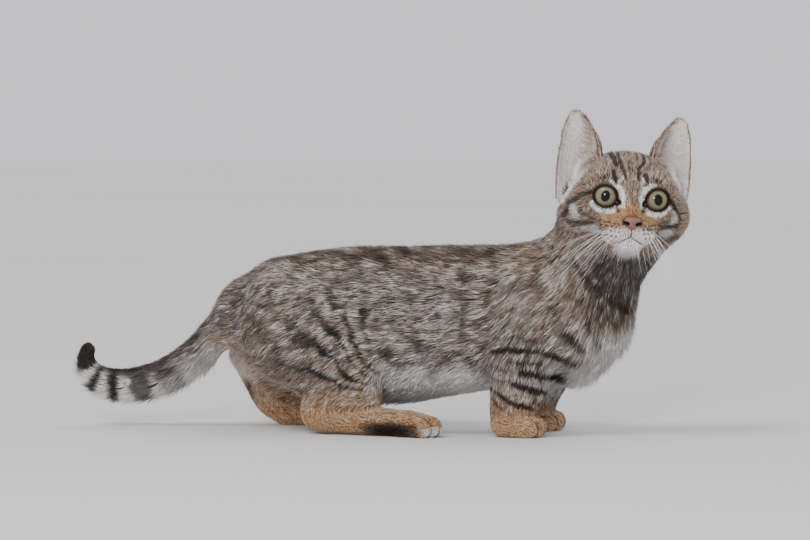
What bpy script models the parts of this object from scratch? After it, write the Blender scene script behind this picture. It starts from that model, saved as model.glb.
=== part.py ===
"""Life-size model of a short-legged spotted tabby kitten, standing low with its head turned to its right.

The flesh is modelled whole: rounded forms are closed into one surface, which is then drawn onto
the soft blend of the same forms and parted into nodes with thin cuts.
Sizes are in millimetres and MM turns them into metres. +X is forward, +Y the kitten's left, +Z up.
The outline includes the lie of the short coat.
"""

import math

import bmesh
import bpy
import numpy as np
from mathutils import Matrix, Vector

MM = 0.001
GAP = 0.3                      # space left between touching pieces

# Driving sizes of the body
FORE_PAW_X = 68.0              # middle of both forepaws
FORE_PAW_Y = 24.0              # forepaw to the middle plane
HIND_FOOT_LENGTH = 79.0        # heel to toe tips, flat on the floor
RIGHT_HEEL = (-49.0, -29.0)    # heel of the hind foot that steps forward
LEFT_BALL = (-84.8, 27.5)      # back of the toes of the hind foot that stays back, heel raised
TOE_OUT_DEG = 8.0              # each hind foot points a little outwards
PAW_LENGTH = 29.0

# Driving sizes of the head, along its own axes: forward, left and up
HEAD_CENTRE = (126.0, -13.0, 125.8)
HEAD_TURN_DEG = -71.5          # heading of the face, turned to the kitten's right
HEAD_ROLL_DEG = 4.4            # left side of the head lower
HEAD_PITCH_DEG = -0.5          # face a little up
HEAD_SCALE = 0.98
EYE_CENTRE = (18.4, 13.3, 3.4)
EYE_RADIUS = 8.7
EYE_OUT_DEG = 7.0              # each eye looks a little outwards
LID_THICKNESS = 1.3
LID_HALF_WIDTH = 6.6
LID_HALF_HEIGHT = 5.9
LID_TILT_DEG = 14.0            # inner corner lower than the outer one
EAR_WALL = 2.1
EAR_OUT_DEG = 17.0             # each ear opens forwards and a little outwards
EAR_SHIFT = -1.5               # both ears are pricked a little to the right
MOUTH_LINE = ((0, -13), (0, -17.4), (2.5, -19), (5.5, -20.3), (9, -20.6))
MOUTH_LINE_RADIUS = 0.5

# How finely the surfaces are closed, and how many triangles they keep
BODY_VOXEL = 1.6
HEAD_VOXEL = 0.8
BODY_TRIANGLES = 4600
HEAD_TRIANGLES = 2900
EAR_VOXEL = 0.6
NOSE_VOXEL = 0.35
EAR_TRIANGLES = 700
NOSE_TRIANGLES = 240
MERGE = 0.00002                # points closer than this are one
FAR_AWAY = 60.0                # distance given to points well outside a form
BEYOND = 150.0                 # half size of the blocks that part one length from the next

# Where the body is parted: a point and the direction beyond it, or a centre and half sizes
NAPE = ((113, -9, 104), (0.53, -0.24, 0.82))
NECK_BASE = ((100, 0, 84), (0.66, -0.1, 0.75))
TAIL_TIP_BASE = ((-172, -5.5, 21), (-0.97, -0.1, 0.22))
TAIL_MIDDLE_BASE = ((-138, -2, 26), (-0.92, -0.03, -0.39))
TAIL_ROOT = ((-104, -0.5, 55), (-0.73, 0, -0.68))
TAIL_ROOT_BLOCK = (30, 15, 18)
RIGHT_FOOT_EGG = ((38, 0, 0), (48, 17, 24))          # on the foot's own axes
PARTING_EGGS = {
    "hindfoot_left": ((-78, 27.5, 8), (33, 18, 20)),
    "thigh_right": ((-42, -52, 44), (46, 42, 36)),
    "thigh_left": ((-70, 52, 44), (42, 42, 34)),
}
FOREPAW_BLOCK = (24, 17, 13)
FORELEG_EGG = (26, 20, 32)
BELOW_FLOOR = (Matrix.Translation((0, 0, -50)), (300, 300, 50))

# Colours of the finishes
BODY_COAT = (0.26, 0.20, 0.14)
PAW_COAT = (0.45, 0.27, 0.14)
TAIL_TIP_COAT = (0.03, 0.025, 0.02)
EAR_COAT = (0.5, 0.4, 0.33)
IRIS = (0.22, 0.22, 0.09)
NOSE_LEATHER = (0.35, 0.17, 0.13)


# Forms: each has a distance function, starting balls for its surface, and how softly it joins

def smooth_rows(rows, steps=4):
    """Rows of a path read from a smooth curve through them."""
    rows = np.array(rows, float)
    padded = np.vstack([2 * rows[0] - rows[1], rows, 2 * rows[-1] - rows[-2]])
    out = []
    for i in range(len(rows) - 1):
        a, b, c, d = padded[i:i + 4]
        for k in range(steps):
            t = k / steps
            out.append(0.5 * (2 * b + (c - a) * t + (2 * a - 5 * b + 4 * c - d) * t ** 2
                              + (3 * b - a - 3 * c + d) * t ** 3))
    out.append(rows[-1])
    out = np.array(out)
    out[:, 3:] = np.maximum(out[:, 3:], 0.3)
    return out


def unit(v):
    return v / np.linalg.norm(v, axis=-1, keepdims=True)


class Limb:
    """A tapering form along a path. Each row is x, y, z, then the half sizes towards the reference
    direction, away from it, and sideways."""

    def __init__(self, rows, reference, join, dome=0.6, power=2.0, place=None):
        path = smooth_rows(rows)
        self.join, self.dome, self.power = join, dome, power
        self.place = np.array(place or Matrix.Identity(4))
        self.centres, self.sizes = path[:, :3], path[:, 3:]
        self.tangents = unit(np.gradient(self.centres, axis=0))
        up = np.array(reference, float) - self.tangents * (self.tangents @ reference)[:, None]
        self.ups = unit(up)
        self.acrosses = np.cross(self.tangents, self.ups)

    def distance(self, points):
        """Signed distance in millimetres, roughly, negative inside."""
        back = np.linalg.inv(self.place)
        local = points @ back[:3, :3].T + back[:3, 3]
        reach = self.sizes.max() + 16
        near = np.all((local > self.centres.min(0) - reach) & (local < self.centres.max(0) + reach), axis=1)
        out = np.full(len(points), FAR_AWAY)
        if near.any():
            out[near] = self.near_distance(local[near])
        return out

    def near_distance(self, p):
        nodes = self.centres
        apart = (nodes ** 2).sum(1) - 2 * p @ nodes.T
        i = np.clip(apart.argmin(1), 0, len(nodes) - 1)
        best, at = None, None
        for first in (np.maximum(i - 1, 0), np.minimum(i, len(nodes) - 2)):
            span = nodes[first + 1] - nodes[first]
            t = np.clip(((p - nodes[first]) * span).sum(1) / (span ** 2).sum(1), 0, 1)
            gap = ((p - nodes[first] - span * t[:, None]) ** 2).sum(1)
            nearer = gap < best if best is not None else np.ones(len(p), bool)
            best = np.where(nearer, gap, best) if best is not None else gap
            at = np.where(nearer, first + t, at) if at is not None else first + t
        i = np.minimum(at.astype(int), len(nodes) - 2)
        t = (at - i)[:, None]

        def along(values):
            return values[i] * (1 - t) + values[i + 1] * t
        q = p - along(nodes)
        sizes = along(self.sizes)
        up, across = unit(along(self.ups)), unit(along(self.acrosses))
        ahead = np.cross(up, across)
        u, v, w = (q * up).sum(1), (q * across).sum(1), (q * ahead).sum(1)
        tall = np.where(u > 0, sizes[:, 0], sizes[:, 1])
        end = self.dome * sizes.mean(1)
        axes = np.array([u, v, w])
        halves = np.array([tall, sizes[:, 2], end])
        k = np.maximum((np.abs(axes / halves) ** self.power).sum(0) ** (1 / self.power), 1e-3)
        radial = np.maximum(np.linalg.norm(q, axis=1), 1e-3) * (1 - 1 / k)
        slope = (np.abs(axes) ** (self.power - 1) / halves ** self.power) * k ** (1 - self.power)
        across_surface = (k - 1) / np.maximum(np.linalg.norm(slope, axis=0), 1e-3)
        return np.where(np.abs(across_surface) < np.abs(radial), across_surface, radial)

    def balls(self):
        """Places and radii of flattened balls that fill the form."""
        spacing = np.linalg.norm(np.gradient(self.centres, axis=0), axis=1)
        out = []
        for i, (front, behind, wide) in enumerate(self.sizes):
            turn = Matrix(np.array([self.ups[i], self.acrosses[i], self.tangents[i]]).T.tolist()).to_4x4()
            centre = self.centres[i] + self.ups[i] * (front - behind) / 2
            deep = max(spacing[i] * 1.2, self.dome * (front + behind + wide) / 3 * 0.9)
            out.append((Matrix(self.place) @ Matrix.Translation(centre) @ turn,
                        ((front + behind) / 2 * 0.97, wide * 0.97, deep)))
        return out


class Ball:
    """An ellipsoid, turned if need be, in the axes of its place."""

    def __init__(self, centre, radii, join, place=None, turn=None):
        self.join, self.radii = join, np.array(radii, float)
        self.place = (place or Matrix.Identity(4)) @ Matrix.Translation(centre) @ (turn or Matrix.Identity(4))

    def distance(self, points):
        back = np.array(self.place.inverted())
        q = points @ back[:3, :3].T + back[:3, 3]
        k = np.maximum(np.linalg.norm(q / self.radii, axis=1), 1e-3)
        slope = np.maximum(np.linalg.norm(q / self.radii ** 2, axis=1), 1e-4)
        return k * (k - 1) / slope

    def balls(self):
        return [(self.place, self.radii)]


def ball_mesh(name, balls, segments=20):
    """A mesh of many balls from one pattern ball."""
    pattern = bmesh.new()
    bmesh.ops.create_uvsphere(pattern, u_segments=segments, v_segments=segments // 2 + 1, radius=1.0)
    pattern.verts.index_update()
    corners = np.array([v.co for v in pattern.verts])
    faces = [[v.index for v in f.verts] for f in pattern.faces]
    pattern.free()
    points, all_faces = [], []
    for n, (place, radii) in enumerate(balls):
        matrix = np.array(place @ Matrix.Diagonal((*radii, 1.0)))
        points.append((corners @ matrix[:3, :3].T + matrix[:3, 3]) * MM)
        all_faces.extend([i + n * len(corners) for i in face] for face in faces)
    data = bpy.data.meshes.new(name)
    data.from_pydata(np.concatenate(points).tolist(), [], all_faces)
    return data


class Group:
    """Forms blended among themselves first. Low down they join the rest of the body sharply, so
    that a foot beside the belly stays clear of it."""

    def __init__(self, forms, low, high, softest):
        self.forms, self.low, self.high, self.softest = forms, low, high, softest

    def distance(self, points):
        return field(points, self.forms)

    def join_at(self, points):
        rise = np.clip((points[:, 2] - self.low) / (self.high - self.low), 0.05, 1)
        return rise * self.softest

    def balls(self):
        return [ball for form in self.forms for ball in form.balls()]


def soft_min(a, b, width):
    """The lesser of two distances, rounded where they are within a width of each other."""
    near = np.maximum(width - np.abs(a - b), 0) / width
    return np.minimum(a, b) - near ** 2 * width / 4


def field(points, forms, carves=()):
    """Distance to the soft blend of all the forms, less what is carved out of it."""
    d = forms[0].distance(points)
    for form in forms[1:]:
        width = form.join_at(points) if isinstance(form, Group) else form.join
        d = soft_min(d, form.distance(points), width)
    for form in carves:
        d = -soft_min(-d, form.distance(points), form.join)
    return d


def settle(data, forms, carves=(), rounds=6, level=0.0):
    """Draws a mesh's points along its own normals to a level outside the blend's surface."""
    count = len(data.vertices)
    co, normals = np.empty(count * 3, np.float32), np.empty(count * 3, np.float32)
    for _ in range(rounds):
        data.vertices.foreach_get("co", co)
        data.vertex_normals.foreach_get("vector", normals)
        points = co.reshape(-1, 3).astype(float)
        step = np.clip(field(points / MM, forms, carves) - level, -3, 3) * MM
        points -= normals.reshape(-1, 3) * step[:, None] * 0.8
        data.vertices.foreach_set("co", points.astype(np.float32).ravel())
        data.update()


def applied(obj, name, collection):
    """A plain mesh object from an object with modifiers, which is then removed."""
    graph = bpy.context.evaluated_depsgraph_get()
    data = bpy.data.meshes.new_from_object(obj.evaluated_get(graph))
    bpy.data.objects.remove(obj)
    data.name = name
    made = bpy.data.objects.new(name, data)
    collection.objects.link(made)
    return made


def closed(obj, name, collection, voxel, smooths):
    """The object's surface closed by voxels and a little softened."""
    remesh = obj.modifiers.new("close", "REMESH")
    remesh.mode = "VOXEL"
    remesh.voxel_size = voxel * MM
    smooth = obj.modifiers.new("soften", "SMOOTH")
    smooth.factor, smooth.iterations = 0.5, smooths
    return applied(obj, name, collection)


def thinned(obj, name, collection, triangles):
    """The object with about so many triangles, fewest where it is flattest."""
    thin = obj.modifiers.new("thin", "DECIMATE")
    thin.ratio = min(1.0, triangles / sum(len(face.vertices) - 2 for face in obj.data.polygons))
    return applied(obj, name, collection)


def flesh(name, forms, carves, collection, voxel, first=0):
    """One closed surface on the soft blend of the forms, grown from those after the first few."""
    made = bpy.data.objects.new(name, ball_mesh(name, [b for form in forms[first:] for b in form.balls()]))
    collection.objects.link(made)
    made = closed(made, name, collection, voxel * 1.6, 3)
    settle(made.data, forms, carves, 5)
    made = closed(made, name, collection, voxel, 2)
    settle(made.data, forms, carves, 4)
    return made


# The kitten's forms

def torso():
    """Rib cage, belly and rump. Rows follow the spine: place, up, down and sideways."""
    rows = [(-92, 0, 64, 19, 22, 19),
            (-79, 0, 63, 31, 32, 28),
            (-60, 0, 61, 38, 38, 33),
            (-30, 0, 58, 44.5, 41, 35),
            (0, 0, 56, 46.5, 39.5, 36.5),
            (30, 0, 57, 46.5, 35.5, 35.5),
            (56, 0, 60, 44, 35, 33),
            (78, 0, 63, 41, 38, 30.5),
            (97, 0, 64, 32, 36, 27.5),
            (109, 0, 66, 20, 25, 20)]
    return Limb(rows, (0, 0, 1), 8, dome=0.75, power=2.15)


def neck():
    """From between the shoulders to the base of the skull, leaning to the right with the head."""
    rows = [(84, 0, 68, 29, 30, 28),
            (98, -1, 82, 29, 30.5, 28),
            (108, -5, 98, 28, 30, 26),
            (116, -9, 112, 25, 28.5, 25),
            (121, -12, 122, 21, 24, 22)]
    return Limb(rows, (-0.85, 0.1, 0.5), 18, dome=0.3)


def tail():
    """Down from the rump, along above the floor and up at the tip."""
    rows = [(-76, 0, 80, 12, 14, 13),
            (-90, 0, 71.5, 11.5, 13.5, 12),
            (-106, -0.5, 55, 10.8, 11.5, 10.7),
            (-120, -1, 41, 10.2, 10.6, 10),
            (-137, -2, 29.5, 10, 10.6, 9.8),
            (-155, -3.5, 24, 9.6, 10, 9.3),
            (-169, -5, 24, 8.8, 9, 8.6),
            (-178.5, -6.5, 28, 7.6, 7.4, 7.4),
            (-182.5, -8, 35.5, 5.8, 5.6, 6),
            (-182, -8.5, 42.5, 4.6, 4.4, 4.6)]
    return Limb(rows, (0.3, 0, 1), 9, dome=1.0)


def foreleg(side):
    """Shoulder, upper arm and thick forearm. The side is +1 on the left and -1 on the right."""
    x, y = FORE_PAW_X, side * FORE_PAW_Y
    rows = [(x + 4, side * 15, 82, 18, 20, 12),
            (x + 5, side * 18, 63, 20, 23, 14),
            (x + 4, side * 20.5, 46, 19, 21, 13),
            (x + 2.5, y - side * 1, 31, 17, 17.5, 11.5),
            (x, y, 20, 14, 14.5, 10.3),
            (x - 1.5, y, 10, 11.5, 12.5, 9.6),
            (x - 1, y, 6, 10, 11.5, 9)]
    return Limb(rows, (1, 0, 0), 9, dome=0.5)


def paw(place, length, half_width):
    """A paw along its place's +X, with its origin on the floor under its middle, and four toes."""
    forms = [Ball((0, 0, 6), (length * 0.42, half_width * 0.9, 7.4), 5, place),
             Ball((length * 0.1, 0, 5.6), (length * 0.34, half_width * 0.95, 6.2), 3, place)]
    for spread, reach, tall in ((0.27, 0.33, 6.3), (0.74, 0.23, 5.6)):
        for side in (-1, 1):
            forms.append(Ball((length * reach, side * half_width * spread, tall * 0.84),
                              (6.4, half_width * 0.27, tall), 1.6, place))
    return forms


def right_foot_place():
    return (Matrix.Translation((*RIGHT_HEEL, 0))
            @ Matrix.Rotation(math.radians(-TOE_OUT_DEG), 4, "Z"))


def left_foot_place():
    return (Matrix.Translation((*LEFT_BALL, 0))
            @ Matrix.Rotation(math.radians(TOE_OUT_DEG), 4, "Z"))


def right_hind_leg():
    """Steps forward, with the long foot flat on the floor."""
    y = RIGHT_HEEL[1]
    haunch = Limb([(-70, -19, 74, 20, 22, 14),
                   (-55, -23, 60, 27, 29, 17),
                   (-36, -26, 45, 27, 29, 17),
                   (-15, -28, 33, 18, 20, 14)], (0.75, 0, 0.65), 9, dome=0.6)
    seat = Ball((-58, -25, 48), (25, 15, 19), 8)
    shin = Limb([(-14, -28, 25, 13, 13, 12),
                 (-30, -28.5, 20.5, 12.5, 12, 11),
                 (RIGHT_HEEL[0] + 8, y, 11.5, 10, 10.5, 9)], (0.2, 0, 1), 9, dome=0.6)
    place = right_foot_place()
    foot = Limb([(6, 0, 10.6, 8.4, 8, 7.6),
                 (22, 0, 9.6, 9, 8.6, 8.2),
                 (42, 0, 8.2, 8.2, 8.2, 7.8),
                 (60, 0, 7, 6.8, 7, 8)], (0, 0, 1), 8, dome=0.8, place=place)
    toes = paw(place @ Matrix.Translation((HIND_FOOT_LENGTH - PAW_LENGTH / 2, 0, 0)), PAW_LENGTH, 9.8)
    return Group([haunch, seat, shin, foot, *toes], 18, 50, 9)


def left_hind_leg():
    """Stays back on its toes, with the hock raised behind."""
    haunch = Limb([(-84, 19, 72, 20, 22, 14),
                   (-76, 23, 59, 25, 24, 17),
                   (-64, 26, 48, 23, 23, 17),
                   (-52, 28, 40, 17, 17, 14)], (0.75, 0, 0.65), 9, dome=0.6)
    shin = Limb([(-54, 28, 38, 13, 25, 12),
                 (-76, 27.5, 37, 12, 24, 10.5),
                 (-99, 27.5, 42, 9.5, 10, 8)], (0.2, 0, 1), 8, dome=0.6)
    place = left_foot_place()
    foot = Limb([(-18.2, 0, 41, 8.5, 7.6, 6.8),
                 (-9.5, 0, 26, 10, 7.8, 7.2),
                 (-1, 0, 12.5, 10, 8, 7.8),
                 (9, 0, 7, 7, 7, 8.2)], (1, 0, 0.5), 6, dome=0.8, place=place)
    toes = paw(place @ Matrix.Translation((PAW_LENGTH / 2, 0, 0)), PAW_LENGTH, 9.8)
    return Group([haunch, shin, foot, *toes], 18, 50, 9)


def head_place():
    """Turns the head's own axes into the body's."""
    return (Matrix.Translation(HEAD_CENTRE)
            @ Matrix.Rotation(math.radians(HEAD_TURN_DEG), 4, "Z")
            @ Matrix.Rotation(math.radians(-HEAD_ROLL_DEG), 4, "X")
            @ Matrix.Rotation(math.radians(HEAD_PITCH_DEG), 4, "Y")
            @ Matrix.Scale(HEAD_SCALE, 4))


def eye_place(side):
    """An eye's own axes, looking along +X."""
    x, y, z = EYE_CENTRE
    return (head_place() @ Matrix.Translation((x, side * y, z))
            @ Matrix.Rotation(math.radians(side * EYE_OUT_DEG), 4, "Z")
            @ Matrix.Rotation(math.radians(side * LID_TILT_DEG), 4, "X"))


def skull():
    """The rounded forms of the head, without the ears."""
    place = head_place()
    forms = [Ball((-5, 0, 5), (29, 30, 24.5), 8, place),           # brain case
             Ball((9, 0, 10), (17.5, 21, 15.5), 9, place)]         # forehead
    for side in (-1, 1):
        forms.append(Ball((0, side * 15, -5), (22, 21.3, 17.5), 10, place))      # cheek
        forms.append(Ball((-10, side * 12, -8), (20, 19, 16), 10, place))        # jowl
    forms.append(Ball((11, 0, -15), (19, 18, 11), 8, place))                     # jaw
    forms.append(Ball((-2, 0, -22), (21, 19, 14), 12, place))                    # throat
    for side in (-1, 1):
        forms.append(Ball((16.5, side * 13, -6.5), (10.5, 10, 9), 7, place))     # under the eye
        forms.append(Ball((15.5, side * 12.5, 10), (9, 10.5, 7), 7, place))      # brow
    forms.append(Ball((24, 0, -12.5), (11.5, 12.5, 9), 6, place))                # root of the muzzle
    forms.append(Limb([(12, 0, 12, 8, 8, 8), (22, 0, 6, 6.4, 7, 6.2), (29.5, 0, -0.5, 5, 6, 5),
                       (34, 0, -6.5, 4, 4, 4.6)], (1, 0, 0.8), 5, dome=0.7, place=place))
    for side in (-1, 1):
        forms.append(Ball((30.5, side * 6.3, -14.6), (7.4, 7.6, 6.4), 2.6, place))   # whisker pad
    forms.append(Ball((28.2, 0, -21.2), (7, 7.6, 5), 2.5, place))                # chin
    for side in (-1, 1):
        lids = EYE_RADIUS + LID_THICKNESS
        forms.append(Ball((0, 0, 0), (lids, lids, lids), 3, eye_place(side)))
    return forms


def face_hollows():
    """What is taken out of the head: between the lids, and down the canal of each ear."""
    carves = []
    for side in (-1, 1):
        place = eye_place(side)
        carves.append(Ball((10, 0, 0), (9, LID_HALF_WIDTH, LID_HALF_HEIGHT), 0.6, place))
        carves.append(Ball((9.5, -side * 6, -0.6), (4, 2.6, 1.5), 1.2, place))       # inner corner
        carves.append(Ball((-10.5, side * 26.5 + EAR_SHIFT, 19), (6.5, 8, 9.5), 1.5, head_place()))
    return carves


def ear_rows(side, wall):
    """Sections of an ear's back from base to tip, drawn in by the wall for its hollow."""
    rows = [(-5, 25, 0, 2, 10, 12),
            (-4, 24.6, 10, 2.2, 14.5, 13.4),
            (-3.4, 24.8, 20, 2.2, 14, 13.2),
            (-3, 25.4, 29, 2, 12, 12.2),
            (-2.8, 26.8, 35, 1.8, 9.6, 10.3),
            (-2.8, 27.9, 41, 1.6, 7, 8),
            (-3, 28.8, 45.5, 1.4, 4.8, 5.4),
            (-3.4, 29.2, 48.2, 1.3, 3, 3.3)]
    if wall:
        rows = [(x, y, z, 14, back - wall, wide - wall) for x, y, z, _, back, wide in rows
                if wide > 2 * wall]
    return [(x, side * y + EAR_SHIFT, *others) for x, y, *others in rows]


def ear(side):
    """A cup that opens forwards and a little outwards, as its back and its hollow."""
    turn = math.radians(EAR_OUT_DEG)
    opening = (math.cos(turn), side * math.sin(turn), 0)
    back = Limb(ear_rows(side, 0), opening, 1, dome=0.45, place=head_place())
    hollow = Limb(ear_rows(side, EAR_WALL), opening, 0.8, dome=0.45, place=head_place())
    return back, hollow


def nose_forms():
    place = head_place()
    forms = [Ball((36.6, 0, -8.9), (3.4, 4.9, 2.2), 1.5, place),
             Ball((36.6, 0, -11), (3.2, 2.6, 2.9), 1.5, place)]
    for side in (-1, 1):
        forms.append(Ball((36.2, side * 3.3, -9.9), (3.2, 2.1, 1.9), 1.2, place))
    return forms


def nostrils():
    return [Ball((39.4, side * 2.5, -10.2), (1.6, 1.3, 0.85), 0.5, head_place()) for side in (-1, 1)]


def body_forms():
    forms = [torso(), neck(), tail()]
    for side in (-1, 1):
        toes = paw(Matrix.Translation((FORE_PAW_X + 1, side * FORE_PAW_Y, 0)), PAW_LENGTH, 10.4)
        forms.append(Group([foreleg(side), *toes], 20, 45, 9))
    return forms + [right_hind_leg(), left_hind_leg()] + skull()


def head_forms():
    return [torso(), neck()] + skull()


# Cutting and closing

def take_modifier(obj):
    """The object with its modifiers applied."""
    graph = bpy.context.evaluated_depsgraph_get()
    data = bpy.data.meshes.new_from_object(obj.evaluated_get(graph))
    old = obj.data
    obj.modifiers.clear()
    obj.data = data
    bpy.data.meshes.remove(old)


def cut(obj, cutter, operation="DIFFERENCE"):
    boolean = obj.modifiers.new("cut", "BOOLEAN")
    boolean.operation, boolean.solver, boolean.object = operation, "EXACT", cutter
    take_modifier(obj)
    keep_largest(obj)


def keep_largest(obj):
    """Drops all but the largest of the closed surfaces, merges what coincides and makes triangles."""
    mesh = bmesh.new()
    mesh.from_mesh(obj.data)
    bmesh.ops.remove_doubles(mesh, verts=mesh.verts, dist=MERGE)
    bmesh.ops.dissolve_degenerate(mesh, edges=mesh.edges, dist=MERGE)
    bmesh.ops.triangulate(mesh, faces=mesh.faces)
    surfaces, seen = [], set()
    for first in mesh.faces:
        if first in seen:
            continue
        surface, edge_on = [], [first]
        seen.add(first)
        while edge_on:
            face = edge_on.pop()
            surface.append(face)
            for edge in face.edges:
                for other in edge.link_faces:
                    if other not in seen:
                        seen.add(other)
                        edge_on.append(other)
        surfaces.append(surface)
    surfaces.sort(key=lambda faces: sum(face.calc_area() for face in faces))
    for surface in surfaces[:-1]:
        bmesh.ops.delete(mesh, geom=surface, context="FACES")
    loose = [vert for vert in mesh.verts if not vert.link_faces]
    bmesh.ops.delete(mesh, geom=loose, context="VERTS")
    mesh.to_mesh(obj.data)
    mesh.free()


def copy_of(obj, name):
    made = bpy.data.objects.new(name, obj.data.copy())
    obj.users_collection[0].objects.link(made)
    return made


def cutter_from(mesh, name, place, grow, collection):
    """A cutter of half sizes one, scaled in millimetres, grown on all sides."""
    data = bpy.data.meshes.new(name)
    mesh.transform(place @ Matrix.Diagonal((*grow, 1.0)))
    mesh.transform(Matrix.Scale(MM, 4))
    mesh.to_mesh(data)
    mesh.free()
    made = bpy.data.objects.new(name, data)
    made.hide_render, made.display_type = True, "WIRE"
    collection.objects.link(made)
    return made


def egg(name, place, radii, collection, grow=0.0):
    mesh = bmesh.new()
    bmesh.ops.create_uvsphere(mesh, u_segments=24, v_segments=14, radius=1.0)
    return cutter_from(mesh, name, place, [r + grow for r in radii], collection)


def block(name, place, half_sizes, collection, grow=0.0):
    mesh = bmesh.new()
    bmesh.ops.create_cube(mesh, size=2.0)
    return cutter_from(mesh, name, place, [h + grow for h in half_sizes], collection)


def beyond(point, direction):
    """The place of a block whose near face is on a point, and which goes on along a direction."""
    turn = Vector(direction).to_track_quat("X", "Z").to_matrix().to_4x4()
    return Matrix.Translation(point) @ turn @ Matrix.Translation((BEYOND, 0, 0))


# The nodes

def surface_material(name, colour, roughness):
    material = bpy.data.materials.new(name)
    material.use_nodes = True
    shader = material.node_tree.nodes["Principled BSDF"]
    shader.inputs["Base Color"].default_value = (*colour, 1)
    shader.inputs["Roughness"].default_value = roughness
    shader.inputs["Metallic"].default_value = 0
    return material


def part_off(whole, name, shape, place, sizes, cutters):
    """The piece of the whole inside a cutter, which the whole then loses with a thin gap."""
    piece = copy_of(whole, name)
    cut(piece, shape(name + "_inside", place, sizes, cutters), "INTERSECT")
    cut(whole, shape(name + "_outside", place, sizes, cutters, GAP))
    return piece


def make_flesh(kitten, cutters):
    """Body and head, parted into named nodes."""
    body = thinned(flesh("torso", body_forms(), (), kitten, BODY_VOXEL), "torso", kitten, BODY_TRIANGLES)
    head = flesh("head", head_forms(), face_hollows(), kitten, HEAD_VOXEL, 1)
    cut(body, block("below_floor", *BELOW_FLOOR, cutters))

    nape = beyond(*NAPE)
    block_sizes = (BEYOND, BEYOND, BEYOND)
    cut(head, block("head_inside", nape, block_sizes, cutters), "INTERSECT")
    head = thinned(head, "head", kitten, HEAD_TRIANGLES)
    cut(body, block("head_outside", nape, block_sizes, cutters, GAP))
    nodes = [head]

    def off(name, shape, place, sizes):
        nodes.append(part_off(body, name, shape, place, sizes, cutters))

    off("neck", block, beyond(*NECK_BASE), block_sizes)
    off("tail_tip", block, beyond(*TAIL_TIP_BASE), block_sizes)
    off("tail_middle", block, beyond(*TAIL_MIDDLE_BASE), block_sizes)
    root, along = Vector(TAIL_ROOT[0]), Vector(TAIL_ROOT[1])
    turn = along.to_track_quat("X", "Z").to_matrix().to_4x4()
    off("tail_base", block, Matrix.Translation(root + along * TAIL_ROOT_BLOCK[0]) @ turn, TAIL_ROOT_BLOCK)
    off("hindfoot_right", egg, right_foot_place() @ Matrix.Translation(RIGHT_FOOT_EGG[0]), RIGHT_FOOT_EGG[1])
    for name, (centre, half_sizes) in PARTING_EGGS.items():
        off(name, egg, Matrix.Translation(centre), half_sizes)
    for side, label in ((-1, "right"), (1, "left")):
        y = side * (FORE_PAW_Y + 2)
        off("forepaw_" + label, block, Matrix.Translation((FORE_PAW_X, y, 0)), FOREPAW_BLOCK)
        off("foreleg_" + label, egg, Matrix.Translation((FORE_PAW_X + 4, y + side * 2, 14)), FORELEG_EGG)
    nodes.append(body)
    return nodes, head


def mouth_cutters(cutters):
    """Thin tubes along the line of the mouth, set on the surface of the muzzle."""
    place = np.array(head_place())
    forms = skull()
    tubes = []
    for side in (-1, 1):
        curve = bpy.data.curves.new("mouth_line", "CURVE")
        curve.dimensions, curve.bevel_depth, curve.bevel_resolution = "3D", MOUTH_LINE_RADIUS * MM, 1
        curve.use_fill_caps = True
        line = np.array(MOUTH_LINE if side < 0 else MOUTH_LINE[1:], float)
        along = np.linspace(0, len(line) - 1, 4 * len(line))
        local = np.array([np.full(len(along), 48.0),
                          side * np.interp(along, range(len(line)), line[:, 0]),
                          np.interp(along, range(len(line)), line[:, 1])]).T
        steps = np.zeros(len(local))
        for _ in range(40):
            at = local - np.outer(steps, (1, 0, 0))
            steps += field(at @ place[:3, :3].T + place[:3, 3], forms) * 0.8
        at = local - np.outer(steps, (1, 0, 0))
        points = (at @ place[:3, :3].T + place[:3, 3]) * MM
        spline = curve.splines.new("POLY")
        spline.points.add(len(points) - 1)
        for point, co in zip(spline.points, points):
            point.co = (*co, 1)
        made = bpy.data.objects.new("mouth_line", curve)
        cutters.objects.link(made)
        mesh = applied(made, "mouth_line", cutters)
        welded = bmesh.new()
        welded.from_mesh(mesh.data)
        bmesh.ops.remove_doubles(welded, verts=welded.verts, dist=MERGE)
        bmesh.ops.recalc_face_normals(welded, faces=welded.faces)
        welded.to_mesh(mesh.data)
        welded.free()
        mesh.hide_render, mesh.display_type = True, "WIRE"
        tubes.append(mesh)
    return tubes


def make_eye(name, place, collection, radius):
    data = bpy.data.meshes.new(name)
    mesh = bmesh.new()
    turn = Matrix.Rotation(math.pi / 2, 4, "Y")
    bmesh.ops.create_uvsphere(mesh, u_segments=20, v_segments=12, radius=radius)
    mesh.transform(Matrix.Scale(MM, 4) @ place @ turn)
    mesh.to_mesh(data)
    mesh.free()
    made = bpy.data.objects.new(name, data)
    collection.objects.link(made)
    return made


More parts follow.
